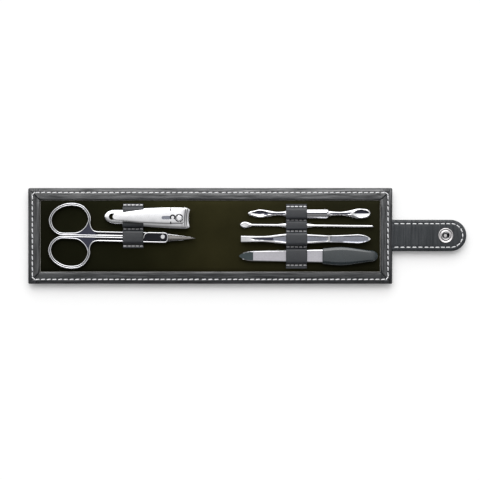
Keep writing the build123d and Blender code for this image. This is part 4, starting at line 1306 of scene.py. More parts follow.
def scissors_outlines():
    """Outline of one half, ring on the +Y side, and its finger hole."""
    hole = [tuple(p) for p in curve_through(FINGER_HOLE, 8, closed=True)]
    rim = list(reversed(list(grown(hole, RING_WIRE))))
    first = min(range(len(rim)), key=lambda i: math.dist(rim[i], RING_JOIN))
    outline = []
    for x, y in rim[first:] + rim[:first]:
        if y <= SHANK_LOW:
            break
        outline.append((x, y))
    outline += [(x, SHANK_LOW) for x in spread(outline[-1][0] + SHANK_STEP, SHANK_END, SHANK_STEP)]
    corner = PLATE_HALF * 0.75
    heel, nose = SCREW_ALONG - PLATE_REACH + HEEL_ROUND, PLATE_NOSE - corner
    outline += [(heel + HEEL_ROUND * math.cos(a), PLATE_HALF * math.sin(a))
                for a in (math.radians(180 + 9 * i) for i in range(10))]
    outline += [(x, -PLATE_HALF) for x in spread(heel + SHANK_STEP, nose, SHANK_STEP)]
    outline += arc_points(nose, corner - PLATE_HALF, corner, -80, 0, 8)
    outline += arc_points(nose, PLATE_HALF - corner, corner, 0, 90, 8)
    outline += [(x, PLATE_HALF - 0.1 * ease((60 - x) / 4))
                for x in reversed(spread(SHANK_START, nose - SHANK_STEP, SHANK_STEP))]
    outline += [tuple(p) for p in curve_through(THROAT, 5)]
    return outline, hole


def scissors_shank(bm, upper):
    """Ringed shank with its channel, and the pivot plate above or below the middle."""
    # Sunk faces of the channel take satin steel, painted dark as shade.
    relief_plate(bm, scissors_outlines(), SHANK_HALF_THICK, -SHANK_HALF_THICK,
                 UPPER_RELIEF, UNDER_RELIEF, CHANNEL_FROM)
    # Sunk faces past the ring take dark steel: painted shade on the face at the screw.
    for face in bm.faces:
        if face.material_index and face.calc_center_median().x > RING_END:
            face.material_index = 3
    middle = (SHANK_LOW + SHANK_HIGH) / 2
    for v in bm.verts:
        if 0 < v.co.z < 0.75 and abs(v.co.y - middle) < 0.9:
            narrowing = CHANNEL_NARROWING * between_ends(v.co.x, CHANNEL_START, CHANNEL_END, 5.0, 2.0)
            v.co.y = middle + (v.co.y - middle) * (1 - narrowing)
    for v in bm.verts:
        t = ease((v.co.x - PLATE_START) / PLATE_RISE)
        share = (v.co.z + SHANK_HALF_THICK) / (2 * SHANK_HALF_THICK)
        start = PLATE_GAP if upper else -PLATE_GAP - PLATE_THICK
        v.co.z = v.co.z * (1 - t) + (start + PLATE_THICK * share) * t


def scissors_blade(bm, upper):
    """Tapering blade with a bevelled back and a flat inner face."""
    flip = 1 if upper else -1

    def half(x):
        return along_line(BLADE_WIDTHS, x)

    def spine(x, u):
        return PLATE_GAP + along_line(BLADE_HEIGHTS, x) * along_line(BLADE_SECTION, u * flip)

    def finish(x, u):
        return 2 if GROUND_FROM <= u * flip <= GROUND_TO else 0

    xs = spread(BLADE_START, 86.0, 1.2) + [87.4, 88.6, 89.5, 90.0, BLADE_TIP]
    us = rim_columns(1.0, 0.93, 0.80, 0.55, 0.25)
    if upper:
        bar_form(bm, xs, us, half, spine, lambda x, u: PLATE_GAP, finish=finish)
    else:
        bar_form(bm, xs, us, half, lambda x, u: -PLATE_GAP, lambda x, u: -spine(x, u), finish=finish)


def scissors_half(ring_side, upper):
    """One half of the scissors, its ring on the given side of the middle line."""
    bm = bmesh.new()
    scissors_shank(bm, upper)
    scissors_blade(bm, upper)
    for v in bm.verts:
        v.co.y *= ring_side
        v.co.z += HALF_MIDDLE
    set_down(bm, (SCISSORS_START, SCISSORS_Y), SCISSORS_TILT)
    name = "scissors_upper_half" if upper else "scissors_lower_half"
    materials = ["polished_steel", "satin_steel", "blade_steel", "dark_steel"]
    return finish_piece(name, bm, materials, sharp=32, weld=0.002)


class OBJECT_OT_case_scissors(bpy.types.Operator):
    """Small scissors: two ringed halves with channelled shanks and ground blades"""
    bl_idname = "object.case_scissors"
    bl_label = "Scissors"

    def execute(self, context):
        for side, upper, node, body in ((-1, True, "scissor_top_half", "scissors_top"),
                                        (1, False, "scissor_base_half", "scissors_base")):
            half = scissors_half(side, upper)
            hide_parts(node)
            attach(half, body)
        return {"FINISHED"}


# ================================================================== nail clipper
# Places along a leaf run from its tail; heights of the leaves are above their underside.
LEAF, LEAF_SEAT, LEAF_TOP, LEAF_END = 1.2, 1.3, 5.7, 51.9
LEAF_TAIL = 10.4
LEAF_WIDTHS = [(LEAF_TAIL, 4.2), (24.4, 5.5), (40.0, 6.2), (49.5, 6.3), (50.6, 6.0), (LEAF_END, 5.15)]
LOWER_TOP = [(0, LEAF), (46.4, LEAF), (50.0, 2.4), (LEAF_END, 2.4)]
LOWER_LOW = [(0, 0), (46.8, 0), (LEAF_END, 2.05)]
UPPER_TOP = [(0, 2.5), (11.8, 2.5), (40.0, LEAF_TOP), (46.8, LEAF_TOP), (LEAF_END, 4.15)]
UPPER_LOW = [(0, LEAF_SEAT), (11.8, LEAF_SEAT), (40.0, 4.5), (46.4, 4.5), (50.0, 3.8), (LEAF_END, 3.8)]
CLIPPER_XS = [0.01, 0.06, 0.2, 0.45, 0.9, 1.5, 2.3, 3.3, 4.5, 6.0, 7.6, 9.2, 10.8, 12.4]
CLIPPER_XS += spread(14.5, 39.0, 2.45) + [40.6, 42.4, 44.0, 45.4, 46.4, 47.2, 48.0, 49.0, 49.8, 50.5]
CLIPPER_XS += [51.2, 51.65, LEAF_END]
LEAF_COLUMNS = rim_columns(1.0, 0.985, 0.95, 0.90, 0.84, 0.78, 0.60, 0.40, 0.20)
JAW_BOW, JAW_START, JAW_LENGTH = -0.9, 46.0, 5.9
POST_ALONG, UPPER_HOLE, LOWER_HOLE, FOOT_HOLE, FOOT_TOP = 45.5, 1.9, 1.75, 2.45, 0.75
TAIL_SLOT = (4.5, 5.5, 0, 1.95)
GROOVES, GROOVE_WIDTH, GROOVE_SPAN = ((49.15, 4.62), (50.35, 4.28)), 0.42, 6.2
BELOW_LEAVES, BELOW_LEVER = 3.0, 9.0
CLIPPER_SHARP, LEAF_WEAR, LEVER_WEAR = 34, 0.14, 0.12

LEVER_ROUND, LEVER_TOP, LEVER_LOW = 2.2, 11.4, 10.2
LEVER_WIDTHS = [(LEVER_ROUND, 2.2), (9.0, 3.05), (17.4, 3.97), (26.0, 4.5), (34.5, 4.9)]
LEVER_XS = [0.01, 0.08, 0.25, 0.55, 1.0, 1.6, 2.3] + spread(4.0, 33.0, 2.0)
LEVER_XS += [34.5, 36.0, 37.6, 39.2, 40.8, 42.0, 42.7]
# Sunk details of the lever, placed from its post.
LEVER_HOLE_HALF, LEVER_HOLE, SEAT, SEAT_FLOOR = 0.3, 1.75, 2.5, 10.86
CRESCENT_X, CRESCENT_Y, CRESCENT_OUT, CRESCENT_IN, SUNK_FLOOR = -3.9, 0.5, 1.75, 0.9, 10.60
THUMB_SLOT, THUMB_SLOT_Y, THUMB_SLOT_ROUND, THUMB_SLOT_FLOOR = (-9.6, -6.0), 0.35, 1.05, 11.16
NOTCH_X, NOTCH_SIDE = -5.1, 4.95
NOTCH = [(-0.35, -0.5), (0.35, -0.5), (0.35, 1.5), (0.0, 1.8), (-0.35, 1.5)]


def clipper_half(x):
    """Half width of a leaf."""
    if x < LEAF_TAIL:
        return rounded_end(x, LEAF_TAIL, LEAF_TAIL, 4.2, 4.0, least=0.05)
    return between(LEAF_WIDTHS, x)


def jaw_bow(x, u):
    """Shift along X that hollows the cutting edge between its corners."""
    return JAW_BOW * (1 - u * u) * ease((x - JAW_START) / JAW_LENGTH)


def clipper_leaf(upper):
    """One sprung leaf with its jaw, its holes and, above, the grooves of the jaw."""
    top, low, crown = (UPPER_TOP, UPPER_LOW, 0.28) if upper else (LOWER_TOP, LOWER_LOW, 0.0)
    place = (CLIPPER_TAIL, CLIPPER_Y)

    def full(x):
        """Share of the rounding that the thin jaw leaves room for."""
        return 0.2 + 0.8 * ease((51.0 - x) / 5.5)

    bm = bmesh.new()
    bar_form(bm, CLIPPER_XS, LEAF_COLUMNS, clipper_half,
             lambda x, u: along_line(top, x) - full(x) * (edge_drop(u) + crown * u * u),
             lambda x, u: along_line(low, x) + full(x) * edge_drop(u, 0.2), bow=jaw_bow)
    for v in bm.verts:
        v.co.z += TOOL_BOTTOM
    set_down(bm, place, CLIPPER_TILT)
    name = "upper_clipper_leaf" if upper else "lower_clipper_leaf"
    leaf = finish_piece(name, bm, ["clipper_chrome", "dark_steel"], sharp=CLIPPER_SHARP, weld=0.002)

    def cut_through(points):
        return turned_all(points, place, CLIPPER_TILT), BELOW_LEAVES

    post_hole = circle_points(POST_ALONG, 0, UPPER_HOLE if upper else LOWER_HOLE)
    holes = [cut_through(slot_points(*TAIL_SLOT)), cut_through(post_hole)]
    grooves = []
    # The grooves' floors take dark steel: painted shade.
    for along, floor in GROOVES if upper else ():
        us = [-0.92 + 0.115 * i for i in range(17)]
        line = [(along + jaw_bow(along, u), u * GROOVE_SPAN) for u in us]
        line += [(x + GROOVE_WIDTH, y) for x, y in reversed(line)]
        grooves.append((turned_all(line, place, CLIPPER_TILT), TOOL_BOTTOM + floor, 1))
    cut_holes(leaf, holes, grooves, CLIPPER_SHARP)
    if not upper:
        foot, below = cut_through(circle_points(POST_ALONG, 0, FOOT_HOLE))
        carve(leaf, [cutter_rod(foot, below, TOOL_BOTTOM + FOOT_TOP)], CLIPPER_SHARP)
    wear_down(leaf, LEAF_WEAR, bpy.context.scene.case_sizes.bevel_segments)
    return leaf


def clipper_lever():
    """Thumb lever that lies over the leaves, with its post hole, sunk crescent, slot and notches."""
    (x0, y0), (x1, y1) = LEVER_TIP, LEVER_END
    turn = math.degrees(math.atan2(y1 - y0, x1 - x0))
    length = math.hypot(x1 - x0, y1 - y0)

    def half(x):
        if x < LEVER_ROUND:
            return rounded_end(x, LEVER_ROUND, LEVER_ROUND, 2.2, least=0.05)
        return between(LEVER_WIDTHS + [(length, 4.9)], x)

    def top(x, u):
        crown = 0.14 * u * u * ease(x / 8)
        return LEVER_TOP - crown - edge_drop(u, 0.30) - 0.25 * ease((x - length + 1.2) / 1.2)

    def low(x, u):
        return LEVER_LOW + 0.75 * ease((x - 41.0) / 2.0) + edge_drop(u, 0.1)

    bm = bmesh.new()
    bar_form(bm, LEVER_XS + [length], LEAF_COLUMNS, half, top, low)
    set_down(bm, (x0, y0), turn)
    materials = ["clipper_chrome", "dark_steel", "brushed_steel"]
    lever = finish_piece("thumb_lever", bm, materials, sharp=CLIPPER_SHARP, weld=0.002)
    post = turned((POST_ALONG, 0.0), (CLIPPER_TAIL, CLIPPER_Y), CLIPPER_TILT)
    px, py = turned((post[0] - x0, post[1] - y0), (0.0, 0.0), -turn)
    cx, cy = px + CRESCENT_X, py + CRESCENT_Y
    crescent = arc_points(cx, cy, CRESCENT_OUT, -50, 225, 24) + arc_points(cx, cy, CRESCENT_IN, 225, -50, 18)
    start, end = THUMB_SLOT
    thumb_slot = slot_points(px + start, px + end, py + THUMB_SLOT_Y, THUMB_SLOT_ROUND)
    # Floors of the seat, crescent and notches take dark steel as painted shade; the thumb slot's floor takes
    # brushed steel, also painted grey as shade.
    sunk = [(circle_points(px, py, SEAT, 40), SEAT_FLOOR, 1), (crescent, SUNK_FLOOR, 1),
            (thumb_slot, THUMB_SLOT_FLOOR, 2)]
    for side in (1, -1):
        sunk.append(([(px + NOTCH_X + ox, side * (NOTCH_SIDE - oy)) for ox, oy in NOTCH], SUNK_FLOOR, 1))
    post_slot = slot_points(px - LEVER_HOLE_HALF, px + LEVER_HOLE_HALF, py, LEVER_HOLE)
    holes = [(turned_all(post_slot, (x0, y0), turn), BELOW_LEVER)]
    pockets = [(turned_all(points, (x0, y0), turn), floor, finish) for points, floor, finish in sunk]
    cut_holes(lever, holes, pockets, CLIPPER_SHARP)
    wear_down(lever, LEVER_WEAR, bpy.context.scene.case_sizes.bevel_segments)
    return lever


class OBJECT_OT_case_clipper(bpy.types.Operator):
    """Nail clipper: two sprung leaves and the thumb lever"""
    bl_idname = "object.case_clipper"
    bl_label = "Nail Clipper"

    def execute(self, context):
        for piece, node, body in (
            (clipper_leaf(False), "clipper_lower_jaw", "clipper_base"),
            (clipper_leaf(True), "clipper_upper_jaw", "clipper_spring_jaw"),
            (clipper_lever(), "clipper_lever", "clipper_thumb_lever"),
        ):
            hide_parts(node)
            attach(piece, body)
        return {"FINISHED"}


# ================================================================== slim tools
PUSHER_MIDDLE = TOOL_BOTTOM + 1.5
SCOOP_END, SPOON_START = 26.2, 94.6
PUSHER_WIDTHS = [
    (SCOOP_END, 1.65), (30.4, 2.5), (35.0, 1.95), (40.7, 1.25), (45.6, 1.6), (46.6, 2.8),
    (71.4, 2.8), (72.6, 1.7), (79.2, 1.25), (84.0, 1.7), (90.8, 3.0), (SPOON_START, 2.75)]
PUSHER_THICKNESS = [
    (23.1, 0.35), (26.0, 0.62), (35.0, 0.65), (41.0, 1.25), (46.0, 1.3), (46.8, 1.5),
    (71.2, 1.5), (72.4, 1.25), (79.2, 1.25), (85.0, 0.65), (95.0, 0.6), (97.5, 0.35)]
SHAFT_FACETS = [(-1.0, 0.0), (-0.62, 0.62), (-0.10, 1.0), (0.32, 1.0), (0.80, 0.74), (1.0, 0.0)]
PUSHER_SECTION = 2.6
SHAFT_START, SHAFT_END, SHAFT_EASE = 46.2, 71.9, 0.8
SHAFT_GROOVE, GROOVE_HALF, GROOVE_DEPTH, NECK_HALF, NECK_DEPTH = 0.10, 0.13, 0.55, 0.26, 0.42
# Bowls are (middle, half length, share of the half width).
SPOON_BOWL, SPOON_DEPTH = (92.3, 4.6, 0.80), 0.72
SCOOP_BOWL, SCOOP_DEPTH = (30.2, 5.4, 0.74), 0.55
PUSHER_XS = [23.1, 23.16, 23.3, 23.6, 24.0, 24.6, 25.3] + spread(SCOOP_END, 45.6, 0.55)
PUSHER_XS += [46.0, 46.3, 46.6, 47.0, 48.0] + spread(49.0, 70.0, 3.0)
PUSHER_XS += [71.0, 71.3, 71.6, 71.9, 72.2, 72.6] + spread(73.2, SPOON_START, 0.55)
PUSHER_XS += [95.2, 95.8, 96.3, 96.8, 97.15, 97.36, 97.46, 97.5]
PUSHER_COLUMNS = [
    -1, -0.985, -0.94, -0.86, -0.78, -0.70, -0.60, -0.48, -0.36, -0.26, -0.16, -0.06, 0.0,
    0.06, 0.14, 0.22, 0.30, 0.38, 0.48, 0.58, 0.68, 0.78, 0.86, 0.94, 0.985, 1]


def pusher_form():
    """Scoop, neck, faceted shaft, neck and spoon in one bar."""
    def half(x):
        if x < SCOOP_END:
            return rounded_end(x, SCOOP_END, 3.1, 1.65, 1.7)
        if x > SPOON_START:
            return rounded_end(x, SPOON_START, 2.9, 2.75)
        return between(PUSHER_WIDTHS, x)

    def thick(x):
        return between(PUSHER_THICKNESS, x)

    def top(x, u):
        shaft = between_ends(x, SHAFT_START, SHAFT_END, SHAFT_EASE, SHAFT_EASE)
        section = round_top(u, PUSHER_SECTION) * (1 - shaft) + along_line(SHAFT_FACETS, u) * shaft
        z = PUSHER_MIDDLE + thick(x) * section
        z -= GROOVE_DEPTH * shaft * math.exp(-((u - SHAFT_GROOVE) / GROOVE_HALF) ** 4)
        neck = between_ends(x, 34.0, 46.0, 3.0, 1.5) + between_ends(x, 72.8, 86.5, 1.5, 3.0)
        z -= NECK_DEPTH * neck * math.exp(-(u / NECK_HALF) ** 4)
        return z - SPOON_DEPTH * hollow(x, u, *SPOON_BOWL) - SCOOP_DEPTH * hollow(x, u, *SCOOP_BOWL)

    def low(x, u):
        return PUSHER_MIDDLE - thick(x) * round_top(u, PUSHER_SECTION)

    def finish(x, u):
        """Satin steel, painted dark as shade, in the grooves, over the far part of both bowls and in the
        scoop's throat.
        """
        shaft = 46.4 < x < 71.8 and abs(u - SHAFT_GROOVE) < GROOVE_HALF
        neck = (35.2 < x < 45.8 or 72.9 < x < 85.2) and abs(u) < NECK_HALF
        spoon = hollow(x, u - 0.1, 92.3, 4.4, 0.66) > 0 and u > 0.02
        scoop = hollow(x, u - 0.3, 30.2, 5.0, 0.42) > 0 or (33.0 < x < 35.2 and abs(u) < 0.5)
        return 1 if shaft or neck or spoon or scoop else 0

    bm = bmesh.new()
    bar_form(bm, PUSHER_XS, PUSHER_COLUMNS, half, top, low, centre=PUSHER_Y, finish=finish)
    return finish_piece("cuticle_pusher_form", bm, ["polished_steel", "satin_steel"], sharp=40, weld=0.002)


class OBJECT_OT_case_pusher(bpy.types.Operator):
    """Cuticle pusher with a leaf scoop, a faceted shaft and a round spoon"""
    bl_idname = "object.case_pusher"
    bl_label = "Cuticle Pusher"

    def execute(self, context):
        pusher = pusher_form()
        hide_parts("cuticle_pusher")
        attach(pusher, "pusher")
        return {"FINISHED"}


PICK_MIDDLE, PICK_ROUND, PICK_TAIL = TOOL_BOTTOM + 0.95, 3.2, 0.4
PICK_WIDTHS = [
    (PICK_ROUND, 1.95), (4.4, 1.8), (8.0, 0.8), (22.0, 0.82), (28.0, 1.3), (41.0, 1.3), (46.0, 0.82)]
PICK_THICKNESS = [
    (0.0, 0.35), (1.2, 0.62), (4.5, 0.75), (8.0, 0.8), (22.0, 0.8), (28.0, 0.62), (41.0, 0.62), (46.0, 0.8)]


def pick_form():
    """Scoop, wire and flattened grip in one bar."""
    (x0, y0), (x1, y1) = PICK_START, PICK_END
    turn = math.degrees(math.atan2(y1 - y0, x1 - x0))
    length = math.hypot(x1 - x0, y1 - y0)

    def half(x):
        if x < PICK_ROUND:
            return rounded_end(x, PICK_ROUND, PICK_ROUND, 1.95)
        if x > length - PICK_TAIL:
            return 0.8 - 0.35 * ((x - length + PICK_TAIL) / PICK_TAIL) ** 2
        return between(PICK_WIDTHS + [(length, 0.8)], x)

    def thick(x):
        return between(PICK_THICKNESS + [(length - PICK_TAIL, 0.8), (length, 0.5)], x)

    def top(x, u):
        return PICK_MIDDLE + thick(x) * round_top(u) - 0.28 * hollow(x, u, 2.9, 2.4, 0.72)

    xs = [0.0, 0.06, 0.2, 0.45, 0.8] + spread(1.2, 9.0, 0.4) + spread(11.0, 20.0, 3.0)
    xs += spread(21.5, 47.0, 1.5) + spread(52.0, length - 1.0, 4.5)
    xs += [length - PICK_TAIL, length - 0.15, length]
    bm = bmesh.new()
    bar_form(bm, xs, even_columns(12), half, top, lambda x, u: PICK_MIDDLE - thick(x) * round_top(u))
    set_down(bm, (x0, y0), turn)
    return finish_piece("ear_pick_form", bm, ["polished_steel"], sharp=50, weld=0.002)


class OBJECT_OT_case_pick(bpy.types.Operator):
    """Ear pick: round wire with a small scoop and a flattened grip"""
    bl_idname = "object.case_pick"
    bl_label = "Ear Pick"

    def execute(self, context):
        pick = pick_form()
        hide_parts("ear_pick")
        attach(pick, "pick")
        return {"FINISHED"}


# ================================================================== tweezers
# Heights are above and below the middle plane between the arms.
ARMS_MIDDLE = TOOL_BOTTOM + 2.5
TIP_START, WEB_END, BRUSHED_FROM, ARM_END, TAIL_ROUND = 18.8, 25.0, 38.3, 71.9, 89.5
ARM_WIDTHS = [(TIP_START, 1.9), (31.6, 1.7), (45.6, 3.0), (52.0, 3.25), (59.0, 2.8), (ARM_END, 2.15)]
ARM_OUTSIDE = [(TIP_START, 2.05), (22.8, 2.5), (60.0, 2.5), (ARM_END, 1.0)]
ARM_INSIDE = [(TIP_START, 1.42), (22.8, 1.5), (60.0, 1.5), (ARM_END, 0.0)]
CHANNEL_WIDTHS = [
    (WEB_END, 0.2), (27.0, 0.62), (BRUSHED_FROM, 1.05), (45.6, 1.95), (52.0, 2.25),
    (59.0, 1.85), (71.6, 1.3)]
CHANNEL_DEPTH, CHANNEL_WALL, CHANNEL_SEEN = 0.30, 0.22, 0.12
ARM_XS = [TIP_START, 19.1, 20.0, 21.5, 22.8] + spread(24.4, 40.0, 0.8) + spread(41.5, 60.0, 1.4)
ARM_XS += spread(61.5, 71.0, 1.5) + [71.4, 71.75]
ARM_COLUMNS = rim_columns(
    1.0, 0.985, 0.94, 0.87, 0.80, 0.74, 0.68, 0.62, 0.56, 0.50, 0.43, 0.36, 0.28, 0.18, 0.09)
TAIL_WIDTHS = [(ARM_END, 2.15), (80.0, 2.3), (TAIL_ROUND, 2.75)]
TAIL_XS = [ARM_END, 72.1, 72.4, 72.7, 73.0, 73.3] + spread(74.5, TAIL_ROUND, 1.5) + spread(90.3, 96.3, 0.6)
TAIL_XS += [96.8, 97.2, 97.42, 97.5]
TAIL_HALF_THICK, TAIL_RIM = 1.0, 0.80
TWEEZERS_FINISHES = ["polished_steel", "satin_steel", "brushed_steel"]


def tweezers_half(x):
    """Half width of an arm."""
    return between(ARM_WIDTHS, x)


def arm_channel(x, u):
    """Depth of the long channel between the raised rims of an arm."""
    wall = ease((along_line(CHANNEL_WIDTHS, x) - tweezers_half(x) * abs(u)) / CHANNEL_WALL)
    return CHANNEL_DEPTH * between_ends(x, WEB_END, 71.7, 2.0, 0.5) * wall


def tweezers_arm(upper):
    """One arm with a raised rim either side of a long channel."""
    sign = 1 if upper else -1

    def outer(x, u):
        height = along_line(ARM_OUTSIDE, x) - arm_channel(x, u) - edge_drop(u, 0.22, 0.86)
        return ARMS_MIDDLE + sign * height

    def inner(x, u):
        return ARMS_MIDDLE + sign * along_line(ARM_INSIDE, x)

    # Near the tips the channel takes satin steel, painted dark as shade; further back it is brushed.
    def finish(x, u):
        if arm_channel(x, u) <= CHANNEL_SEEN:
            return 0
        return 1 if x < BRUSHED_FROM else 2

    bm = bmesh.new()
    if upper:
        bar_form(bm, ARM_XS, ARM_COLUMNS, tweezers_half, outer, inner, centre=TWEEZERS_Y, finish=finish)
    else:
        bar_form(bm, ARM_XS, ARM_COLUMNS, tweezers_half, inner, outer, centre=TWEEZERS_Y)
    name = "tweezers_upper_form" if upper else "tweezers_lower_form"
    return finish_piece(name, bm, TWEEZERS_FINISHES, sharp=40, weld=0.002)


def tweezers_tail():
    """Leaf-shaped tail behind the bend, its face sunk inside a rim."""
    def half(x):
        if x > TAIL_ROUND:
            return rounded_end(x, TAIL_ROUND, 8.0, 2.75, fullness=0.66)
        return between(TAIL_WIDTHS, x)

    def top(x, u):
        sunk = 0.16 * ease((TAIL_RIM - abs(u)) / 0.08) * between_ends(x, 72.9, 95.6, 0.4, 2.0)
        ridge = 0.25 * math.exp(-((x - 72.2) / 0.55) ** 2)
        return ARMS_MIDDLE + TAIL_HALF_THICK + ridge - sunk - edge_drop(u, 0.2, 0.88)

    def low(x, u):
        return ARMS_MIDDLE - TAIL_HALF_THICK + edge_drop(u, 0.2, 0.88)

    def finish(x, u):
        return 2 if abs(u) < TAIL_RIM and 73.1 < x < 96.5 else 0

    us = rim_columns(1.0, 0.98, 0.94, 0.88, TAIL_RIM, 0.72, 0.5, 0.25)
    bm = bmesh.new()
    bar_form(bm, TAIL_XS, us, half, top, low, centre=TWEEZERS_Y, finish=finish)
    return finish_piece("tweezers_tail_form", bm, TWEEZERS_FINISHES, sharp=40, weld=0.002)


class OBJECT_OT_case_tweezers(bpy.types.Operator):
    """Tweezers: two sprung arms joined at the bend, and a leaf-shaped tail"""
    bl_idname = "object.case_tweezers"
    bl_label = "Tweezers"

    def execute(self, context):
        for piece, node, body in (
            (tweezers_arm(True), "tweezers_upper_arm", "tweezers_upper"),
            (tweezers_arm(False), "tweezers_lower_arm", "tweezers_lower"),
            (tweezers_tail(), "tweezers_tail", "tweezers"),
        ):
            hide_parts(node)
            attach(piece, body)
        return {"FINISHED"}


# ================================================================== nail file
BLADE_TOP, BLADE_LOW, BLADE_CHAMFER, BLADE_FLAT = TOOL_BOTTOM + 2.45, TOOL_BOTTOM + 1.55, 0.32, 0.84
POINT_START, POINT_END, BLADE_END = 17.6, 25.9, 68.6
HANDLE_MIDDLE, HANDLE_START, HANDLE_ROUND, HANDLE_END = TOOL_BOTTOM + 2.0, 68.5, 97.0, 102.1
HANDLE_WIDTHS = [(HANDLE_START, 4.75), (79.2, 5.55), (95.0, 3.75), (HANDLE_ROUND, 3.45)]
HANDLE_BANDS = [(HANDLE_START, 1.6), (80.0, 1.7), (95.0, 1.1), (HANDLE_END, 0.7)]
HANDLE_XS = [HANDLE_START, 68.58, 68.75, 69.1] + spread(70.0, HANDLE_ROUND, 1.2)
HANDLE_XS += [98.0, 99.0, 99.9, 100.7, 101.3, 101.7, 101.95, 102.07, HANDLE_END]


def file_blade_form():
    """Flat pointed blade with chamfered edges."""
    def half(x):
        if x < POINT_END:
            return rounded_end(x, POINT_END, POINT_END - POINT_START, 3.0, fullness=0.625)
        return along_line([(POINT_END, 3.0), (BLADE_END, 3.85)], x)

    def chamfer(u):
        return edge_drop(u, BLADE_CHAMFER, BLADE_FLAT, 1.0)

    xs = [POINT_START, 17.64, 17.75, 18.0, 18.4, 19.0] + spread(19.8, POINT_END, 0.8)
    xs += spread(30.0, BLADE_END, 5.0)
    us = rim_columns(1.0, 0.92, BLADE_FLAT, 0.5, 0.2)
    bm = bmesh.new()
    bar_form(bm, xs, us, half, lambda x, u: BLADE_TOP - chamfer(u), lambda x, u: BLADE_LOW + chamfer(u),
             centre=FILE_Y, finish=lambda x, u: 0 if abs(u) < BLADE_FLAT else 1)
    return finish_piece("file_blade_form", bm, ["file_steel", "polished_steel"], sharp=30, weld=0.002)


def file_handle_form():
    """Moulded handle: a flat field, a sloping band inside the edge, and a thin rounded end."""
    def half(x):
        if x > HANDLE_ROUND:
            return rounded_end(x, HANDLE_ROUND, HANDLE_END - HANDLE_ROUND, 3.45, 2.6, least=0.05)
        return between(HANDLE_WIDTHS, x)

    def face(x, u):
        w = half(x)
        near_edge = max(0.0, 1 - (w - abs(u) * w) / min(along_line(HANDLE_BANDS, x), w))
        tail = ease((x - 99.5) / 2.6)
        shoulder = 0.3 * max(0.0, 1 - (x - HANDLE_START) / 0.5) ** 2
        return 2.0 - 0.74 * near_edge - edge_drop(u, 0.30, 0.93) - 0.9 * tail - 0.10 * u * u - shoulder

    us = rim_columns(1.0, 0.97, 0.93, 0.88, 0.83, 0.78, 0.73, 0.69, 0.65, 0.60, 0.45, 0.22)
    bm = bmesh.new()
    bar_form(bm, HANDLE_XS, us, half, lambda x, u: HANDLE_MIDDLE + face(x, u),
             lambda x, u: HANDLE_MIDDLE - face(x, u), centre=FILE_Y)
    return finish_piece("file_handle_form", bm, ["handle_plastic"], sharp=26, weld=0.002)


class OBJECT_OT_case_file(bpy.types.Operator):
    """Nail file: pointed steel blade and a moulded handle"""
    bl_idname = "object.case_file"
    bl_label = "Nail File"

    def execute(self, context):
        for piece, node in ((file_blade_form(), "file_blade"), (file_handle_form(), "file_handle")):
            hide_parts(node)
            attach(piece, "nail_file")
        return {"FINISHED"}


# ================================================================== kept parts
KEPT_FINISHES = {
    "stiffener": ("left_board", "spine_board", "right_board"),
    "foam": ("left_foam", "spine_foam", "right_foam"),
    "clipper_chrome": ("clipper_rivet", "clipper_post", "clipper_lever_pin"),
    "polished_steel": ("scissor_screw",),
    "snap_metal": ("snap_post",),
    "file_abrasive": ("file_grit",),
}
WORN_FINISHES, KEPT_WEAR = ("clipper_chrome", "polished_steel", "snap_metal"), 0.1


class OBJECT_OT_case_kept(bpy.types.Operator):
    """Finishes for the boards, foam, rivet, pin, posts, screw and grit that keep their own shape"""
    bl_idname = "object.case_kept"
    bl_label = "Inner and Small Parts"

    def execute(self, context):
        finishes = case_materials()
        for finish, names in KEPT_FINISHES.items():
            for name in names:
                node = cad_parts[name]
                node.data.materials.clear()
                node.data.materials.append(finishes[finish])
                if finish in WORN_FINISHES:
                    wear_down(node, KEPT_WEAR, context.scene.case_sizes.bevel_segments)
        return {"FINISHED"}


# ================================================================== stage
FLOOR_LIFT = 0.15
FLOOR_RADIUS = 4.0
SKY_PEAK = 3.0
SKY_BAND = ((-1.0, 0.20), (-0.45, 0.22), (-0.22, 0.34), (0.0, 0.94), (0.15, 1.60), (0.30, 2.05),
            (0.62, 1.90), (0.82, 1.10), (1.0, 0.50))
KEY_ENERGY, KEY_ANGLE, KEY_WAY = 1.75, 60, (-0.04, 0.78, 0.66)
LENS, SENSOR, VIEW_WIDTH = 135.0, 36.0, 0.2928
VIEW_X, VIEW_Y, VIEW_LEVEL = 0.01818, -0.00244, 0.004


def floor_material(colour):
    """Pale floor that keeps the object's shadow and fades to a white background."""
    material, tree, shader, place = fresh_material("studio_floor")
    cloth = noise_node(tree, place, 4.0)
    tone = shade_ramp(tree, cloth, colour, (0.3, 0.992), (0.7, 1.0))
    tree.links.new(tone, shader.inputs["Base Color"])
    shader.inputs["Roughness"].default_value = 0.9
    shader.inputs["Specular IOR Level"].default_value = 0.1
    ray = tree.nodes.new("ShaderNodeLightPath")
    seen = ray.outputs["Is Camera Ray"]
    for way in ("Is Glossy Ray", "Is Transmission Ray"):
        seen = math_node(tree, "MAXIMUM", seen, ray.outputs[way])
    lift = math_node(tree, "MULTIPLY", seen, FLOOR_LIFT)
    shader.inputs["Emission Color"].default_value = (*WHITE, 1.0)
    tree.links.new(lift, shader.inputs["Emission Strength"])
    return material


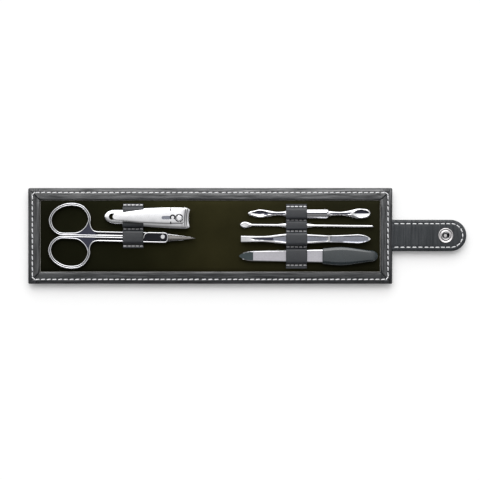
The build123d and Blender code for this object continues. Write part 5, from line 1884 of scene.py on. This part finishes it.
def studio_world():
    """Soft light from above with a long bright panel on the far side; white to the camera."""
    world = bpy.data.worlds.new("studio")
    world.use_nodes = True
    tree = world.node_tree
    tree.nodes.clear()
    place = tree.nodes.new("ShaderNodeTexCoord")
    axes = split_axes(tree, place.outputs["Generated"])
    band = tone_ramp(tree, value_range(tree, axes["Y"], 0.0, 1.0, -1.0, 1.0), [
        ((where + 1) / 2, grey(level / SKY_PEAK)) for where, level in SKY_BAND])
    height = value_range(tree, axes["Z"], 0.35 * SKY_PEAK, SKY_PEAK, -0.10, 0.40)
    sideways = math_node(tree, "ABSOLUTE", axes["X"])
    fall = value_range(tree, sideways, 1.0, 0.45, 0.0, 0.75)
    level = math_node(tree, "MULTIPLY", height, fall)
    lit = tree.nodes.new("ShaderNodeBackground")
    tree.links.new(band, lit.inputs["Color"])
    tree.links.new(level, lit.inputs["Strength"])
    white = tree.nodes.new("ShaderNodeBackground")
    white.inputs["Color"].default_value = (*WHITE, 1.0)
    ray = tree.nodes.new("ShaderNodeLightPath")
    mix = tree.nodes.new("ShaderNodeMixShader")
    tree.links.new(ray.outputs["Is Camera Ray"], mix.inputs["Fac"])
    tree.links.new(lit.outputs["Background"], mix.inputs[1])
    tree.links.new(white.outputs["Background"], mix.inputs[2])
    output = tree.nodes.new("ShaderNodeOutputWorld")
    tree.links.new(mix.outputs["Shader"], output.inputs["Surface"])
    return world


def soft_key():
    """Wide soft sun, high above the far side."""
    light = bpy.data.lights.new("key", "SUN")
    light.energy, light.angle = KEY_ENERGY, math.radians(KEY_ANGLE)
    key = link_object("key", light)
    key.rotation_euler = Vector(KEY_WAY).to_track_quat("Z", "Y").to_euler()


def floor_disc():
    """Round floor at the height of the case's underside."""
    bm = bmesh.new()
    turns = [2 * math.pi * k / 64 for k in range(64)]
    rows = [[(FLOOR_RADIUS * math.cos(a) * r, FLOOR_RADIUS * math.sin(a) * r, CAD_BOX[0].z) for a in turns]
            for r in (0.02, 0.2, 1.0)]
    made = skin_rows(bm, rows, closed=True)
    bm.faces.new(made[0])
    bmesh.ops.recalc_face_normals(bm, faces=bm.faces)
    mesh = bpy.data.meshes.new("studio_floor")
    bm.to_mesh(mesh)
    bm.free()
    mesh.materials.append(floor_material(bpy.context.scene.case_colours.floor))
    return link_object("studio_floor", mesh)


class OBJECT_OT_case_stage(bpy.types.Operator):
    """Pale floor, soft studio light and the camera straight above"""
    bl_idname = "object.case_stage"
    bl_label = "Stage"

    def execute(self, context):
        floor = floor_disc()
        context.scene.world = studio_world()
        soft_key()
        lens = bpy.data.cameras.new("overhead")
        lens.lens, lens.sensor_width = LENS, SENSOR
        camera = link_object("overhead", lens)
        camera.location = (VIEW_X, VIEW_Y, VIEW_LEVEL + VIEW_WIDTH * lens.lens / lens.sensor_width)
        context.scene.camera = camera
        context.scene.view_settings.view_transform = "Standard"
        return {"FINISHED"}


# ================================================================== panel
PIECES = (
    OBJECT_OT_case_cover, OBJECT_OT_case_lining, OBJECT_OT_case_stitching, OBJECT_OT_case_strap,
    OBJECT_OT_case_snap, OBJECT_OT_case_loops, OBJECT_OT_case_scissors, OBJECT_OT_case_clipper,
    OBJECT_OT_case_pusher, OBJECT_OT_case_pick, OBJECT_OT_case_tweezers, OBJECT_OT_case_file,
    OBJECT_OT_case_kept, OBJECT_OT_case_stage,
)


class VIEW3D_PT_manicure_case(bpy.types.Panel):
    """Sizes, colours and pieces of the manicure case"""
    bl_idname = "VIEW3D_PT_manicure_case"
    bl_label = "Manicure Case"
    bl_space_type = "VIEW_3D"
    bl_region_type = "UI"
    bl_category = "Manicure Case"

    def draw(self, context):
        layout = self.layout
        for group in (context.scene.case_sizes, context.scene.case_colours):
            box = layout.box()
            for name in group.__annotations__:
                box.prop(group, name)
        for piece in PIECES:
            layout.operator(piece.bl_idname)


CLASSES = (CaseSizes, CaseColours, *PIECES, VIEW3D_PT_manicure_case)


def register():
    for cls in CLASSES:
        bpy.utils.register_class(cls)
    bpy.types.Scene.case_sizes = PointerProperty(type=CaseSizes)
    bpy.types.Scene.case_colours = PointerProperty(type=CaseColours)


def unregister():
    del bpy.types.Scene.case_colours
    del bpy.types.Scene.case_sizes
    for cls in reversed(CLASSES):
        bpy.utils.unregister_class(cls)


def main():
    register()
    for piece in PIECES:
        group, name = piece.bl_idname.split(".")
        getattr(getattr(bpy.ops, group), name)()


if __name__ == "__main__":
    main()
